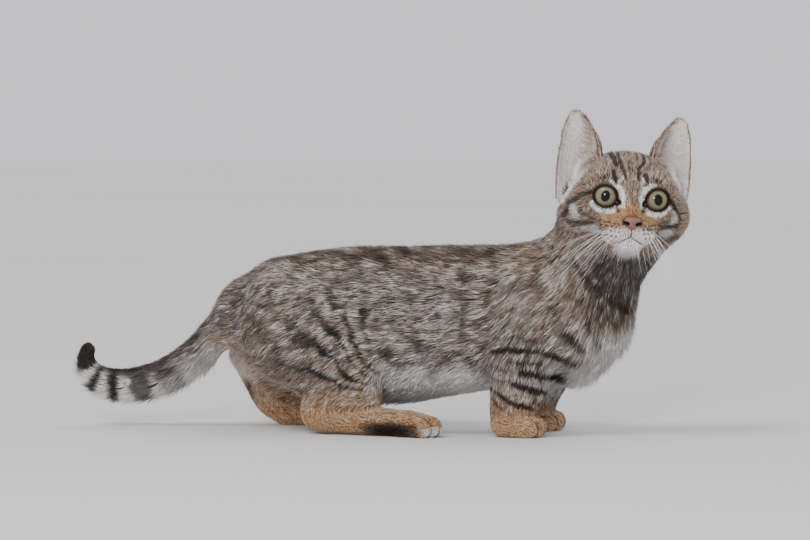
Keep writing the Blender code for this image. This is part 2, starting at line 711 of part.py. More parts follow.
def make_head_pieces(head, kitten, cutters):
    """Eyes in their sockets, the nose, the line of the mouth and the ears."""
    grown = copy_of(head, "head_grown")
    cutters.objects.link(grown)
    kitten.objects.unlink(grown)
    grown.hide_render, grown.display_type = True, "WIRE"
    settle(grown.data, head_forms(), face_hollows(), 1, GAP)
    pieces = []
    for side, label in ((-1, "right"), (1, "left")):
        back, hollow = ear(side)
        name = "ear_" + label
        piece = flesh(name, [back], (), kitten, EAR_VOXEL)
        inside = flesh(name + "_hollow", [hollow], (), cutters, EAR_VOXEL)
        inside.hide_render, inside.display_type = True, "WIRE"
        cut(piece, inside)
        piece = closed(piece, name, kitten, EAR_VOXEL, 1)
        settle(piece.data, [back], [hollow], 3)
        piece = thinned(piece, name, kitten, EAR_TRIANGLES)
        cut(piece, grown)
        pieces.append(piece)
        socket = make_eye("socket_" + label, eye_place(side), cutters, EYE_RADIUS + GAP)
        socket.hide_render, socket.display_type = True, "WIRE"
        cut(head, socket)
        pieces.append(make_eye("eye_" + label, eye_place(side), kitten, EYE_RADIUS))
    for tube in mouth_cutters(cutters):
        cut(head, tube)
    nose = flesh("nose", nose_forms(), nostrils(), kitten, NOSE_VOXEL)
    nose = thinned(nose, "nose", kitten, NOSE_TRIANGLES)
    room = copy_of(nose, "nose_room")
    cutters.objects.link(room)
    kitten.objects.unlink(room)
    room.hide_render, room.display_type = True, "WIRE"
    settle(room.data, nose_forms(), (), 4, GAP * 1.2)
    cut(head, room)
    pieces.append(nose)
    return pieces


def finish(nodes, kitten):
    """Materials, smooth shading, and the origin on the floor under the middle of the box."""
    centre = bpy.data.objects.new("kitten", None)
    kitten.objects.link(centre)
    corners = np.array([v.co for node in nodes for v in node.data.vertices])
    low, high = corners.min(0), corners.max(0)
    centre.location = (-(low[0] + high[0]) / 2, -(low[1] + high[1]) / 2, -low[2])
    for node in nodes:
        node.parent = centre
        colour, roughness = finish_of(node.name)
        node.data.materials.clear()
        node.data.materials.append(surface_material(node.name + "_finish", colour, roughness))
        node.data.shade_smooth()


def finish_of(name):
    if name.startswith("eye"):
        return IRIS, 0.08
    if name == "nose":
        return NOSE_LEATHER, 0.5
    if "foot" in name or "paw" in name:
        return PAW_COAT, 0.9
    if name == "tail_tip":
        return TAIL_TIP_COAT, 0.9
    if name.startswith("ear"):
        return EAR_COAT, 0.9
    return BODY_COAT, 0.9


def main():
    for obj in list(bpy.data.objects):
        bpy.data.objects.remove(obj)
    kitten = bpy.data.collections.new("kitten")
    cutters = bpy.data.collections.new("cutters")
    bpy.context.scene.collection.children.link(kitten)
    bpy.context.scene.collection.children.link(cutters)
    nodes, head = make_flesh(kitten, cutters)
    nodes.extend(make_head_pieces(head, kitten, cutters))
    finish(nodes, kitten)


main()
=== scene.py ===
import math

import bmesh
import bpy
import numpy as np
from mathutils import Matrix, Vector
from mathutils.kdtree import KDTree


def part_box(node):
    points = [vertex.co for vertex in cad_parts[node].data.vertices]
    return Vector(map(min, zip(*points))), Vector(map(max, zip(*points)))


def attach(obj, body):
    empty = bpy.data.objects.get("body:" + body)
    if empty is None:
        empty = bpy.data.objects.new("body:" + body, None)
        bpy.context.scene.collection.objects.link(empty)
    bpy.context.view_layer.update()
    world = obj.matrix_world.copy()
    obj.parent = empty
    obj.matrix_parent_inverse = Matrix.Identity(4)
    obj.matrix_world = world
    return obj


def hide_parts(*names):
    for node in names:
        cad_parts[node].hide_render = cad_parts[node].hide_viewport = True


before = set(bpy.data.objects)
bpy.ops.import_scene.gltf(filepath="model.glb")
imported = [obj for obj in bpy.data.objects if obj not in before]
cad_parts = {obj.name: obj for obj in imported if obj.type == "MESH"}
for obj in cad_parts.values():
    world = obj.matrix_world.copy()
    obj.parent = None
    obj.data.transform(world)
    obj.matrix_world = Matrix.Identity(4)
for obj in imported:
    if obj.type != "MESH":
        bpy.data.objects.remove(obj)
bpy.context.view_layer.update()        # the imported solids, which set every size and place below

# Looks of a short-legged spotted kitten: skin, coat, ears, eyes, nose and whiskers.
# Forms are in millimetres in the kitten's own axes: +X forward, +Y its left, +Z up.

mm = 0.001
rng = np.random.default_rng(11)
bodyRig = "root"

pathSteps = 4                      # how finely the path of a limb is smoothed between its rows

pose = {
    "forePawX": 68.0, "forePawY": 24.0, "hindFootLength": 79.0, "pawLength": 29.0,
    "rightHeel": (-49.0, -29.0), "leftBall": (-84.8, 27.5), "toeOut": 8.0,
    "forePawHalf": 10.4, "hindPawHalf": 9.8,
    "headCentre": (126.0, -13.0, 125.8), "headTurn": -71.5, "headRoll": 4.4, "headPitch": -0.5,
    "headScale": 0.98,
}
eyeSizes = {
    "centre": (18.4, 13.3, 3.4), "radius": 8.7, "outwards": 7.0, "tilt": 14.0,
    "lid": 1.3, "openWide": 6.6, "openTall": 5.9, "openMean": 6.2, "irisRadius": 6.5, "irisInner": 2.6,
    "pupilWide": 2.4, "pupilTall": 3.1, "bulge": 0.8, "cornea": 7.6,
    "corner": (6.2, -1.0), "cornerHalf": (2.5, 1.5),          # the tear corner: towards the nose and up
}
earSizes = {"wall": 2.1, "outwards": 17.0, "shift": -1.5, "coatDepth": 0.35}
noseTip = (37, 0, -9)              # from the middle of the head: forward, left and up


# Rounded forms

def smoothRows(rows):              # a smooth curve through the rows
    rows = np.array(rows, float)
    padded = np.vstack([2 * rows[0] - rows[1], rows, 2 * rows[-1] - rows[-2]])
    out = []
    for i in range(len(rows) - 1):
        a, b, c, d = padded[i:i + 4]
        for k in range(pathSteps):
            t = k / pathSteps
            out.append(0.5 * (2 * b + (c - a) * t + (2 * a - 5 * b + 4 * c - d) * t ** 2
                              + (3 * b - a - 3 * c + d) * t ** 3))
    out.append(rows[-1])
    out = np.array(out)
    out[:, 3:] = np.maximum(out[:, 3:], 0.3)
    return out


def unit(v):
    return v / np.maximum(np.linalg.norm(v, axis=-1, keepdims=True), 1e-9)


def smoothStep(low, high, x):
    t = np.clip((x - low) / (high - low), 0, 1)
    return t * t * (3 - 2 * t)


def blended(a, b, share):          # a where the share is 0, b where it is 1
    return a * (1 - share) + b * share


def moved(points, matrix):         # every point taken through a 4 x 4 matrix
    return points @ matrix[:3, :3].T + matrix[:3, 3]


def newObject(name, data):
    made = bpy.data.objects.new(name, data)
    bpy.context.scene.collection.objects.link(made)
    return made


class Limb:          # a tapering form along a path: x, y, z, then half sizes up, down and sideways
    def __init__(self, rows, reference, join, dome=0.6, power=2.0, place=None):
        path = smoothRows(rows)
        self.join, self.dome, self.power = join, dome, power
        self.place = np.array(place or Matrix.Identity(4))
        self.centres, self.sizes = path[:, :3], path[:, 3:]
        self.tangents = unit(np.gradient(self.centres, axis=0))
        self.ups = unit(np.array(reference, float) - self.tangents * (self.tangents @ reference)[:, None])
        self.acrosses = np.cross(self.tangents, self.ups)

    def local(self, points):
        return moved(points, np.linalg.inv(self.place))

    def nearest(self, p):          # how far along the path, in rows of the smoothed path
        nodes = self.centres
        i = ((nodes ** 2).sum(1) - 2 * p @ nodes.T).argmin(1)
        best, at = np.full(len(p), np.inf), np.zeros(len(p))
        for first in (np.maximum(i - 1, 0), np.minimum(i, len(nodes) - 2)):
            span = nodes[first + 1] - nodes[first]
            t = np.clip(((p - nodes[first]) * span).sum(1) / (span ** 2).sum(1), 0, 1)
            gap = ((p - nodes[first] - span * t[:, None]) ** 2).sum(1)
            at = np.where(gap < best, first + t, at)
            best = np.minimum(gap, best)
        return at

    def sections(self, p):         # offsets from the path, the half sizes and the place along it
        at = self.nearest(p)
        i = np.minimum(at.astype(int), len(self.centres) - 2)
        t = (at - i)[:, None]
        along = lambda values: values[i] * (1 - t) + values[i + 1] * t
        q, sizes = p - along(self.centres), along(self.sizes)
        up, across = unit(along(self.ups)), unit(along(self.acrosses))
        offsets = np.array([(q * up).sum(1), (q * across).sum(1), (q * np.cross(up, across)).sum(1)])
        return at, q, offsets, sizes

    def distance(self, points):    # signed, in millimetres, negative inside
        local = self.local(points)
        reach = self.sizes.max() + 16
        near = np.all((local > self.centres.min(0) - reach) & (local < self.centres.max(0) + reach), axis=1)
        out = np.full(len(points), 60.0)
        if near.any():
            _, q, offsets, sizes = self.sections(local[near])
            tall = np.where(offsets[0] > 0, sizes[:, 0], sizes[:, 1])
            halves = np.array([tall, sizes[:, 2], self.dome * sizes.mean(1)])
            k = np.maximum((np.abs(offsets / halves) ** self.power).sum(0) ** (1 / self.power), 1e-3)
            radial = np.maximum(np.linalg.norm(q, axis=1), 1e-3) * (1 - 1 / k)
            slope = np.abs(offsets) ** (self.power - 1) / halves ** self.power * k ** (1 - self.power)
            across = (k - 1) / np.maximum(np.linalg.norm(slope, axis=0), 1e-3)
            out[near] = np.where(np.abs(across) < np.abs(radial), across, radial)
        return out

    def heading(self, points):     # direction of the path nearest each point
        at = self.nearest(self.local(points)).round().astype(int)
        return self.tangents[at] @ unit(self.place[:3, :3].T)

    def balls(self):
        spacing = np.linalg.norm(np.gradient(self.centres, axis=0), axis=1)
        out = []
        for i, (front, behind, wide) in enumerate(self.sizes):
            turn = Matrix(np.array([self.ups[i], self.acrosses[i], self.tangents[i]]).T.tolist()).to_4x4()
            centre = self.centres[i] + self.ups[i] * (front - behind) / 2
            deep = max(spacing[i] * 1.2, self.dome * (front + behind + wide) / 3 * 0.9)
            out.append((Matrix(self.place) @ Matrix.Translation(centre) @ turn,
                        ((front + behind) / 2 * 0.97, wide * 0.97, deep)))
        return out


class Ball:
    def __init__(self, centre, radii, join, place=None):
        self.join, self.radii = join, np.array(radii, float)
        self.place = (place or Matrix.Identity(4)) @ Matrix.Translation(centre)

    def distance(self, points):
        q = moved(points, np.array(self.place.inverted()))
        k = np.maximum(np.linalg.norm(q / self.radii, axis=1), 1e-3)
        return k * (k - 1) / np.maximum(np.linalg.norm(q / self.radii ** 2, axis=1), 1e-4)

    def balls(self):
        return [(self.place, self.radii)]


class Group:         # blended among themselves first, and joined to the rest sharply low down
    def __init__(self, forms, low, high, softest):
        self.forms, self.low, self.high, self.softest = forms, low, high, softest

    def distance(self, points):
        return field(points, self.forms)

    def joinAt(self, points):
        return np.clip((points[:, 2] - self.low) / (self.high - self.low), 0.05, 1) * self.softest

    def balls(self):
        return [ball for form in self.forms for ball in form.balls()]


def softMin(a, b, width):
    near = np.maximum(width - np.abs(a - b), 0) / width
    return np.minimum(a, b) - near ** 2 * width / 4


def field(points, forms, hollows=()):
    d = forms[0].distance(points)
    for form in forms[1:]:
        d = softMin(d, form.distance(points), form.joinAt(points) if isinstance(form, Group) else form.join)
    for form in hollows:
        d = -softMin(-d, form.distance(points), form.join)
    return d


# The kitten's forms, as its solids have them

def torsoForm():
    return Limb([(-92, 0, 64, 19, 22, 19), (-79, 0, 63, 31, 32, 28), (-60, 0, 61, 38, 38, 33),
                 (-30, 0, 58, 44.5, 41, 35), (0, 0, 56, 46.5, 39.5, 36.5), (30, 0, 57, 46.5, 35.5, 35.5),
                 (56, 0, 60, 44, 35, 33), (78, 0, 63, 41, 38, 30.5), (97, 0, 64, 32, 36, 27.5),
                 (109, 0, 66, 20, 25, 20)], (0, 0, 1), 8, dome=0.75, power=2.15)


def neckForm():
    return Limb([(84, 0, 68, 29, 30, 28), (98, -1, 82, 29, 30.5, 28), (108, -5, 98, 28, 30, 26),
                 (116, -9, 112, 25, 28.5, 25), (121, -12, 122, 21, 24, 22)],
                (-0.85, 0.1, 0.5), 18, dome=0.3)


def tailForm():
    return Limb([(-76, 0, 80, 12, 14, 13), (-90, 0, 71.5, 11.5, 13.5, 12),
                 (-106, -0.5, 55, 10.8, 11.5, 10.7), (-120, -1, 41, 10.2, 10.6, 10),
                 (-137, -2, 29.5, 10, 10.6, 9.8), (-155, -3.5, 24, 9.6, 10, 9.3),
                 (-169, -5, 24, 8.8, 9, 8.6), (-178.5, -6.5, 28, 7.6, 7.4, 7.4),
                 (-182.5, -8, 35.5, 5.8, 5.6, 6), (-182, -8.5, 42.5, 4.6, 4.4, 4.6)],
                (0.3, 0, 1), 9, dome=1.0)


def pawForms(place, halfWidth):
    length = pose["pawLength"]
    forms = [Ball((0, 0, 6), (length * 0.42, halfWidth * 0.9, 7.4), 5, place),
             Ball((length * 0.1, 0, 5.6), (length * 0.34, halfWidth * 0.95, 6.2), 3, place)]
    for spread, reach, tall in ((0.27, 0.33, 6.3), (0.74, 0.23, 5.6)):
        for side in (-1, 1):
            forms.append(Ball((length * reach, side * halfWidth * spread, tall * 0.84),
                              (6.4, halfWidth * 0.27, tall), 1.6, place))
    return forms


def forelegForms(side):
    x, y = pose["forePawX"], side * pose["forePawY"]
    leg = Limb([(x + 4, side * 15, 82, 18, 20, 12), (x + 5, side * 18, 63, 20, 23, 14),
                (x + 4, side * 20.5, 46, 19, 21, 13), (x + 2.5, y - side, 31, 17, 17.5, 11.5),
                (x, y, 20, 14, 14.5, 10.3), (x - 1.5, y, 10, 11.5, 12.5, 9.6),
                (x - 1, y, 6, 10, 11.5, 9)], (1, 0, 0), 9, dome=0.5)
    return Group([leg, *pawForms(Matrix.Translation((x + 1, y, 0)), pose["forePawHalf"])], 20, 45, 9)


def footPlace(point, side):
    turn = math.radians(side * pose["toeOut"])
    return Matrix.Translation((*point, 0)) @ Matrix.Rotation(turn, 4, "Z")


def hindlegForms(side):
    if side < 0:          # steps forward, with the long foot flat
        x, y = pose["rightHeel"]
        place = footPlace((x, y), side)
        forms = [Limb([(-70, -19, 74, 20, 22, 14), (-55, -23, 60, 27, 29, 17), (-36, -26, 45, 27, 29, 17),
                       (-15, -28, 33, 18, 20, 14)], (0.75, 0, 0.65), 9),
                 Ball((-58, -25, 48), (25, 15, 19), 8),
                 Limb([(-14, -28, 25, 13, 13, 12), (-30, -28.5, 20.5, 12.5, 12, 11),
                       (x + 8, y, 11.5, 10, 10.5, 9)], (0.2, 0, 1), 9),
                 Limb([(6, 0, 10.6, 8.4, 8, 7.6), (22, 0, 9.6, 9, 8.6, 8.2), (42, 0, 8.2, 8.2, 8.2, 7.8),
                       (60, 0, 7, 6.8, 7, 8)], (0, 0, 1), 8, dome=0.8, place=place)]
        toes = Matrix.Translation((pose["hindFootLength"] - pose["pawLength"] / 2, 0, 0))
    else:                 # stays back on its toes, with the hock raised
        place = footPlace(pose["leftBall"], side)
        forms = [Limb([(-84, 19, 72, 20, 22, 14), (-76, 23, 59, 25, 24, 17), (-64, 26, 48, 23, 23, 17),
                       (-52, 28, 40, 17, 17, 14)], (0.75, 0, 0.65), 9),
                 Limb([(-54, 28, 38, 13, 25, 12), (-76, 27.5, 37, 12, 24, 10.5),
                       (-99, 27.5, 42, 9.5, 10, 8)], (0.2, 0, 1), 8),
                 Limb([(-18.2, 0, 41, 8.5, 7.6, 6.8), (-9.5, 0, 26, 10, 7.8, 7.2), (-1, 0, 12.5, 10, 8, 7.8),
                       (9, 0, 7, 7, 7, 8.2)], (1, 0, 0.5), 6, dome=0.8, place=place)]
        toes = Matrix.Translation((pose["pawLength"] / 2, 0, 0))
    return Group([*forms, *pawForms(place @ toes, pose["hindPawHalf"])], 18, 50, 9)


def headPlace():
    return (Matrix.Translation(pose["headCentre"])
            @ Matrix.Rotation(math.radians(pose["headTurn"]), 4, "Z")
            @ Matrix.Rotation(math.radians(-pose["headRoll"]), 4, "X")
            @ Matrix.Rotation(math.radians(pose["headPitch"]), 4, "Y")
            @ Matrix.Scale(pose["headScale"], 4))


def eyePlace(side):
    x, y, z = eyeSizes["centre"]
    return (headPlace() @ Matrix.Translation((x, side * y, z))
            @ Matrix.Rotation(math.radians(side * eyeSizes["outwards"]), 4, "Z")
            @ Matrix.Rotation(math.radians(side * eyeSizes["tilt"]), 4, "X"))


def skullForms():
    place = headPlace()
    forms = [Ball((-5, 0, 5), (29, 30, 24.5), 8, place), Ball((9, 0, 10), (17.5, 21, 15.5), 9, place)]
    for side in (-1, 1):
        forms.append(Ball((0, side * 15, -5), (22, 21.3, 17.5), 10, place))          # cheek
        forms.append(Ball((-10, side * 12, -8), (20, 19, 16), 10, place))            # jowl
    forms.append(Ball((11, 0, -15), (19, 18, 11), 8, place))                         # jaw
    forms.append(Ball((-2, 0, -22), (21, 19, 14), 12, place))                        # throat
    for side in (-1, 1):
        forms.append(Ball((16.5, side * 13, -6.5), (10.5, 10, 9), 7, place))         # under the eye
        forms.append(Ball((15.5, side * 12.5, 10), (9, 10.5, 7), 7, place))          # brow
    forms.append(Ball((24, 0, -12.5), (11.5, 12.5, 9), 6, place))                    # root of the muzzle
    forms.append(Limb([(12, 0, 12, 8, 8, 8), (22, 0, 6, 6.4, 7, 6.2), (29.5, 0, -0.5, 5, 6, 5),
                       (34, 0, -6.5, 4, 4, 4.6)], (1, 0, 0.8), 5, dome=0.7, place=place))
    for side in (-1, 1):
        forms.append(Ball((30.5, side * 6.3, -14.6), (7.4, 7.6, 6.4), 2.6, place))   # whisker pad
    forms.append(Ball((28.2, 0, -21.2), (7, 7.6, 5), 2.5, place))                    # chin
    lids = eyeSizes["radius"] + eyeSizes["lid"]
    return forms + [Ball((0, 0, 0), (lids, lids, lids), 3, eyePlace(side)) for side in (-1, 1)]


def earDip(side):                  # the hollow that carries the ear's bowl on into the head
    return Ball((-10.5, side * 26.5 + earSizes["shift"], 19), (6.5, 8, 9.5), 1.5, headPlace())


def eyeOpenings():                 # the opening between the lids and its inner corner
    forms = []
    inwards, up = eyeSizes["corner"]
    for side in (-1, 1):
        forms.append(Ball((10, 0, 0), (9, eyeSizes["openWide"], eyeSizes["openTall"]), 0.6, eyePlace(side)))
        forms.append(Ball((9.5, -side * inwards, up), (5, *eyeSizes["cornerHalf"]), 1.2, eyePlace(side)))
    return forms


def earForms(side):                # the back of the ear and its hollow
    rows = [(-5, 25, 0, 2, 10, 12), (-4, 24.6, 10, 2.2, 14.5, 13.4), (-3.4, 24.8, 20, 2.2, 14, 13.2),
            (-3, 25.4, 29, 2, 12, 12.2), (-2.8, 26.8, 35, 1.8, 9.6, 10.3), (-2.8, 27.9, 41, 1.6, 7, 8),
            (-3, 28.8, 45.5, 1.4, 4.8, 5.4), (-3.4, 29.2, 48.2, 1.3, 3, 3.3)]
    wall, turn = earSizes["wall"], math.radians(earSizes["outwards"])
    opening = (math.cos(turn), side * math.sin(turn), 0)
    inner = [(x, y, z, 14, back - wall, wide - wall) for x, y, z, _, back, wide in rows if wide > 2 * wall]
    forms = []
    for sections in (rows, inner):
        placed = [(x, side * y + earSizes["shift"], *others) for x, y, *others in sections]
        forms.append(Limb(placed, opening, 1, dome=0.45, place=headPlace()))
    return forms


torso, neck, tail = torsoForm(), neckForm(), tailForm()
forelegs = {side: forelegForms(side) for side in (-1, 1)}
hindlegs = {side: hindlegForms(side) for side in (-1, 1)}
skull = skullForms()
ears = {side: earForms(side) for side in (-1, 1)}
earDips = {side: earDip(side) for side in (-1, 1)}
wholeForms = [torso, neck, tail, forelegs[-1], forelegs[1], hindlegs[-1], hindlegs[1], *skull]
regionNames = ("torso", "neck", "tail", "foreRight", "foreLeft", "hindRight", "hindLeft", "head")
headFrame = np.array(headPlace())
headAxes = unit(headFrame[:3, :3].T)          # its forward, left and up
toHead = np.linalg.inv(headFrame)
packedEye = (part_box("eye_left")[0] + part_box("eye_left")[1]) / 2
shift = packedEye - eyePlace(1).translation * mm          # from the kitten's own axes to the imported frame


def inHead(points):                # forward, left and up from the middle of the head
    return moved(points, toHead)


def fromHead(points):
    return moved(np.asarray(points, float), headFrame)


def regionShares(points):          # how much each part of the body owns each point
    d = [form.distance(points) for form in wholeForms[:7]]
    d.append(np.min([form.distance(points) for form in skull], axis=0))
    d = np.array(d).T
    shares = np.exp(-(d - d.min(1, keepdims=True)) / 3.5)
    return shares / shares.sum(1, keepdims=True)


def ripple(points, wavelength, seed):          # a smooth wandering value, about -1 to 1
    draw = np.random.default_rng(seed)
    waves = unit(draw.normal(size=(7, 3))) * draw.uniform(0.7, 1.5, (7, 1)) * 2 * math.pi / wavelength
    return np.sin(points @ waves.T + draw.uniform(0, 6.28, 7)).mean(1) * 1.9


# Length, depth and fineness of the coat, in millimetres

coat = {
    "length": {"torso": 10.5, "neck": 10.0, "tail": 9.5, "fore": 8.0, "hind": 8.5, "head": 6.0},
    "depth": {"torso": 3.0, "neck": 2.8, "tail": 2.6, "fore": 2.0, "hind": 2.2, "head": 1.6},
    "width": {"torso": 0.62, "neck": 0.6, "tail": 0.55, "fore": 0.5, "hind": 0.55, "head": 0.42},
    "density": {"torso": 1.25, "neck": 1.35, "tail": 1.7, "fore": 2.1, "hind": 1.6, "head": 2.4},
}


def byRegion(shares, values):
    kinds = [name.removesuffix("Right").removesuffix("Left") for name in regionNames]
    return shares @ np.array([values[kind] for kind in kinds])


def eyeLocal(points, side):        # ahead, left and up from the middle of the eyeball
    return moved(points, np.array(eyePlace(side).inverted()))


def lidGap(q):                     # distance from the opening between the lids, across the face
    across = np.hypot(q[:, 1] / eyeSizes["openWide"], q[:, 2] / eyeSizes["openTall"])
    return (across - 1) * eyeSizes["openMean"]


def eyeReach(points):              # distance to the nearer eye opening, with its corner
    best = np.full(len(points), 99.0)
    (inwards, up), (wide, tall) = eyeSizes["corner"], eyeSizes["cornerHalf"]
    for side in (-1, 1):
        q = eyeLocal(points, side)
        corner = (np.hypot((q[:, 1] + side * inwards) / wide, (q[:, 2] - up) / tall) - 1) * 2
        best = np.where(q[:, 0] > 0, np.minimum(best, np.minimum(lidGap(q), corner)), best)
    return best


def coatDepth(points, shares):
    depth = byRegion(shares, coat["depth"])
    low = shares[:, 3:7].sum(1)
    onLeg = np.interp(points[:, 2], [0, 8, 20, 45], [0.6, 0.7, 1.3, 2.4])
    depth = depth * (1 - low) + low * np.minimum(depth, onLeg)
    head = shares[:, 7]
    fromNose = np.linalg.norm(inHead(points) - noseTip, axis=1)
    face = np.interp(fromNose, [2, 6, 14, 30, 52], [0.05, 0.35, 0.8, 1.4, 2.4])
    face = np.minimum(face, 0.12 + 0.13 * np.maximum(eyeReach(points), 0))
    depth = depth * (1 - head) + face * head
    onTail = shares[:, 2]
    along = tail.nearest(points) / pathSteps
    depth = depth * (1 - onTail) + onTail * np.interp(along, [0, 6, 9], [2.8, 2.3, 1.5])
    belly = shares[:, 0] * smoothStep(36, 26, points[:, 2])
    return depth + belly * 0.8


# Surfaces

def ballMesh(name, balls, segments=20):
    pattern = bmesh.new()
    bmesh.ops.create_uvsphere(pattern, u_segments=segments, v_segments=segments // 2 + 1, radius=1.0)
    pattern.verts.index_update()
    corners = np.array([v.co for v in pattern.verts])
    faces = [[v.index for v in f.verts] for f in pattern.faces]
    pattern.free()
    points, allFaces = [], []
    for n, (place, radii) in enumerate(balls):
        points.append(moved(corners, np.array(place @ Matrix.Diagonal((*radii, 1.0)))) * mm)
        allFaces.extend([i + n * len(corners) for i in face] for face in faces)
    data = bpy.data.meshes.new(name)
    data.from_pydata(np.concatenate(points).tolist(), [], allFaces)
    return newObject(name, data)


def applied(obj):                  # the object with its modifiers made real
    graph = bpy.context.evaluated_depsgraph_get()
    data = bpy.data.meshes.new_from_object(obj.evaluated_get(graph))
    old = obj.data
    obj.modifiers.clear()
    obj.data = data
    if isinstance(old, bpy.types.Mesh):
        bpy.data.meshes.remove(old)
    return obj


def closed(obj, voxel, smooths):
    remesh = obj.modifiers.new("close", "REMESH")
    remesh.mode, remesh.voxel_size = "VOXEL", voxel * mm
    smooth = obj.modifiers.new("soften", "SMOOTH")
    smooth.factor, smooth.iterations = 0.5, smooths
    return applied(obj)


def combine(obj, other, operation):
    boolean = obj.modifiers.new("cut", "BOOLEAN")
    boolean.operation, boolean.solver, boolean.object = operation, "MANIFOLD", other
    applied(obj)
    bpy.data.objects.remove(other)
    return obj


def vertexArrays(obj):
    count = len(obj.data.vertices)
    co, normals = np.empty(count * 3, np.float32), np.empty(count * 3, np.float32)
    obj.data.vertices.foreach_get("co", co)
    obj.data.vertex_normals.foreach_get("vector", normals)
    return co.reshape(-1, 3).astype(float) / mm, normals.reshape(-1, 3).astype(float)


def settle(obj, forms, hollows=(), rounds=4, level=0.0):     # points slide onto a level of the blend
    for _ in range(rounds):
        points, normals = vertexArrays(obj)
        step = np.clip(field(points, forms, hollows) - level, -3, 3)
        points -= normals * step[:, None] * 0.8
        obj.data.vertices.foreach_set("co", (points * mm).astype(np.float32).ravel())
        obj.data.update()


def surface(name, forms, hollows, voxel, seeds=None):
    made = ballMesh(name, [ball for form in seeds or forms for ball in form.balls()])
    closed(made, voxel * 1.6, 3)
    settle(made, forms, hollows, 5)
    closed(made, voxel, 2)
    settle(made, forms, hollows, 3)
    return made


def cutBlock(name, low, high, place=None):
    mesh = bmesh.new()
    bmesh.ops.create_cube(mesh, size=1.0)
    low, high = Vector(low), Vector(high)
    mesh.transform(Matrix.Translation((low + high) / 2) @ Matrix.Diagonal((*(high - low), 1.0)))
    mesh.transform(Matrix.Scale(mm, 4) @ (place or Matrix.Identity(4)))
    data = bpy.data.meshes.new(name)
    mesh.to_mesh(data)
    mesh.free()
    return newObject(name, data)


skinSizes = {"bodyVoxel": 1.65, "headVoxel": 0.7, "earVoxel": 0.76, "mergeGap": 0.00002,
             "napePoint": (113, -9, 104), "napeDirection": (0.53, -0.24, 0.82)}


def sinkBelowCoat(obj, forms, hollows=()):
    points, _ = vertexArrays(obj)
    depth = coatDepth(points, regionShares(points))
    settle(obj, forms, hollows, 3, -depth)


def inOrder(obj):                  # points and faces sorted, so that every run numbers them alike
    old = obj.data
    points = np.array([point.co for point in old.vertices])
    order = np.lexsort(points.T)
    rank = np.empty(len(order), int)
    rank[order] = np.arange(len(order))
    faces = []
    for polygon in old.polygons:
        corners = rank[list(polygon.vertices)].tolist()
        first = corners.index(min(corners))
        faces.append(corners[first:] + corners[:first])
    obj.data = bpy.data.meshes.new(obj.name)
    obj.data.from_pydata(points[order].tolist(), [], sorted(faces))
    bpy.data.meshes.remove(old)


def makeSkin():
    nape = (Matrix.Translation(skinSizes["napePoint"])
            @ Vector(skinSizes["napeDirection"]).to_track_quat("X", "Z").to_matrix().to_4x4())
    skin = surface("skin", wholeForms, (), skinSizes["bodyVoxel"])
    sinkBelowCoat(skin, wholeForms)
    combine(skin, cutBlock("headRoom", (0, -150, -150), (300, 150, 150), nape), "DIFFERENCE")
    combine(skin, cutBlock("underFloor", (-300, -300, -60), (300, 300, 0.15)), "DIFFERENCE")
    headForms = [torso, neck] + skull
    dips = list(earDips.values())
    head = surface("head", headForms, dips, skinSizes["headVoxel"], headForms[1:])
    sinkBelowCoat(head, headForms, dips)
    for opening in eyeOpenings():
        combine(head, ballMesh("opening", opening.balls(), 44), "DIFFERENCE")
    combine(head, cutBlock("headOnly", (-0.4, -150, -150), (300, 150, 150), nape), "INTERSECT")
    combine(skin, head, "UNION")
    for side in (-1, 1):
        back, hollow = ears[side]
        ear = surface("ear", [back], (), skinSizes["earVoxel"])
        combine(ear, surface("earHollow", [hollow], (), skinSizes["earVoxel"]), "DIFFERENCE")
        closed(ear, skinSizes["earVoxel"], 1)
        settle(ear, [back], [hollow], 3, -earSizes["coatDepth"])
        combine(skin, ear, "UNION")
    mesh = bmesh.new()
    mesh.from_mesh(skin.data)
    bmesh.ops.remove_doubles(mesh, verts=mesh.verts, dist=skinSizes["mergeGap"])
    bmesh.ops.dissolve_degenerate(mesh, edges=mesh.edges, dist=skinSizes["mergeGap"])
    mesh.to_mesh(skin.data)
    mesh.free()
    inOrder(skin)
    return skin


# Which way the hair lies

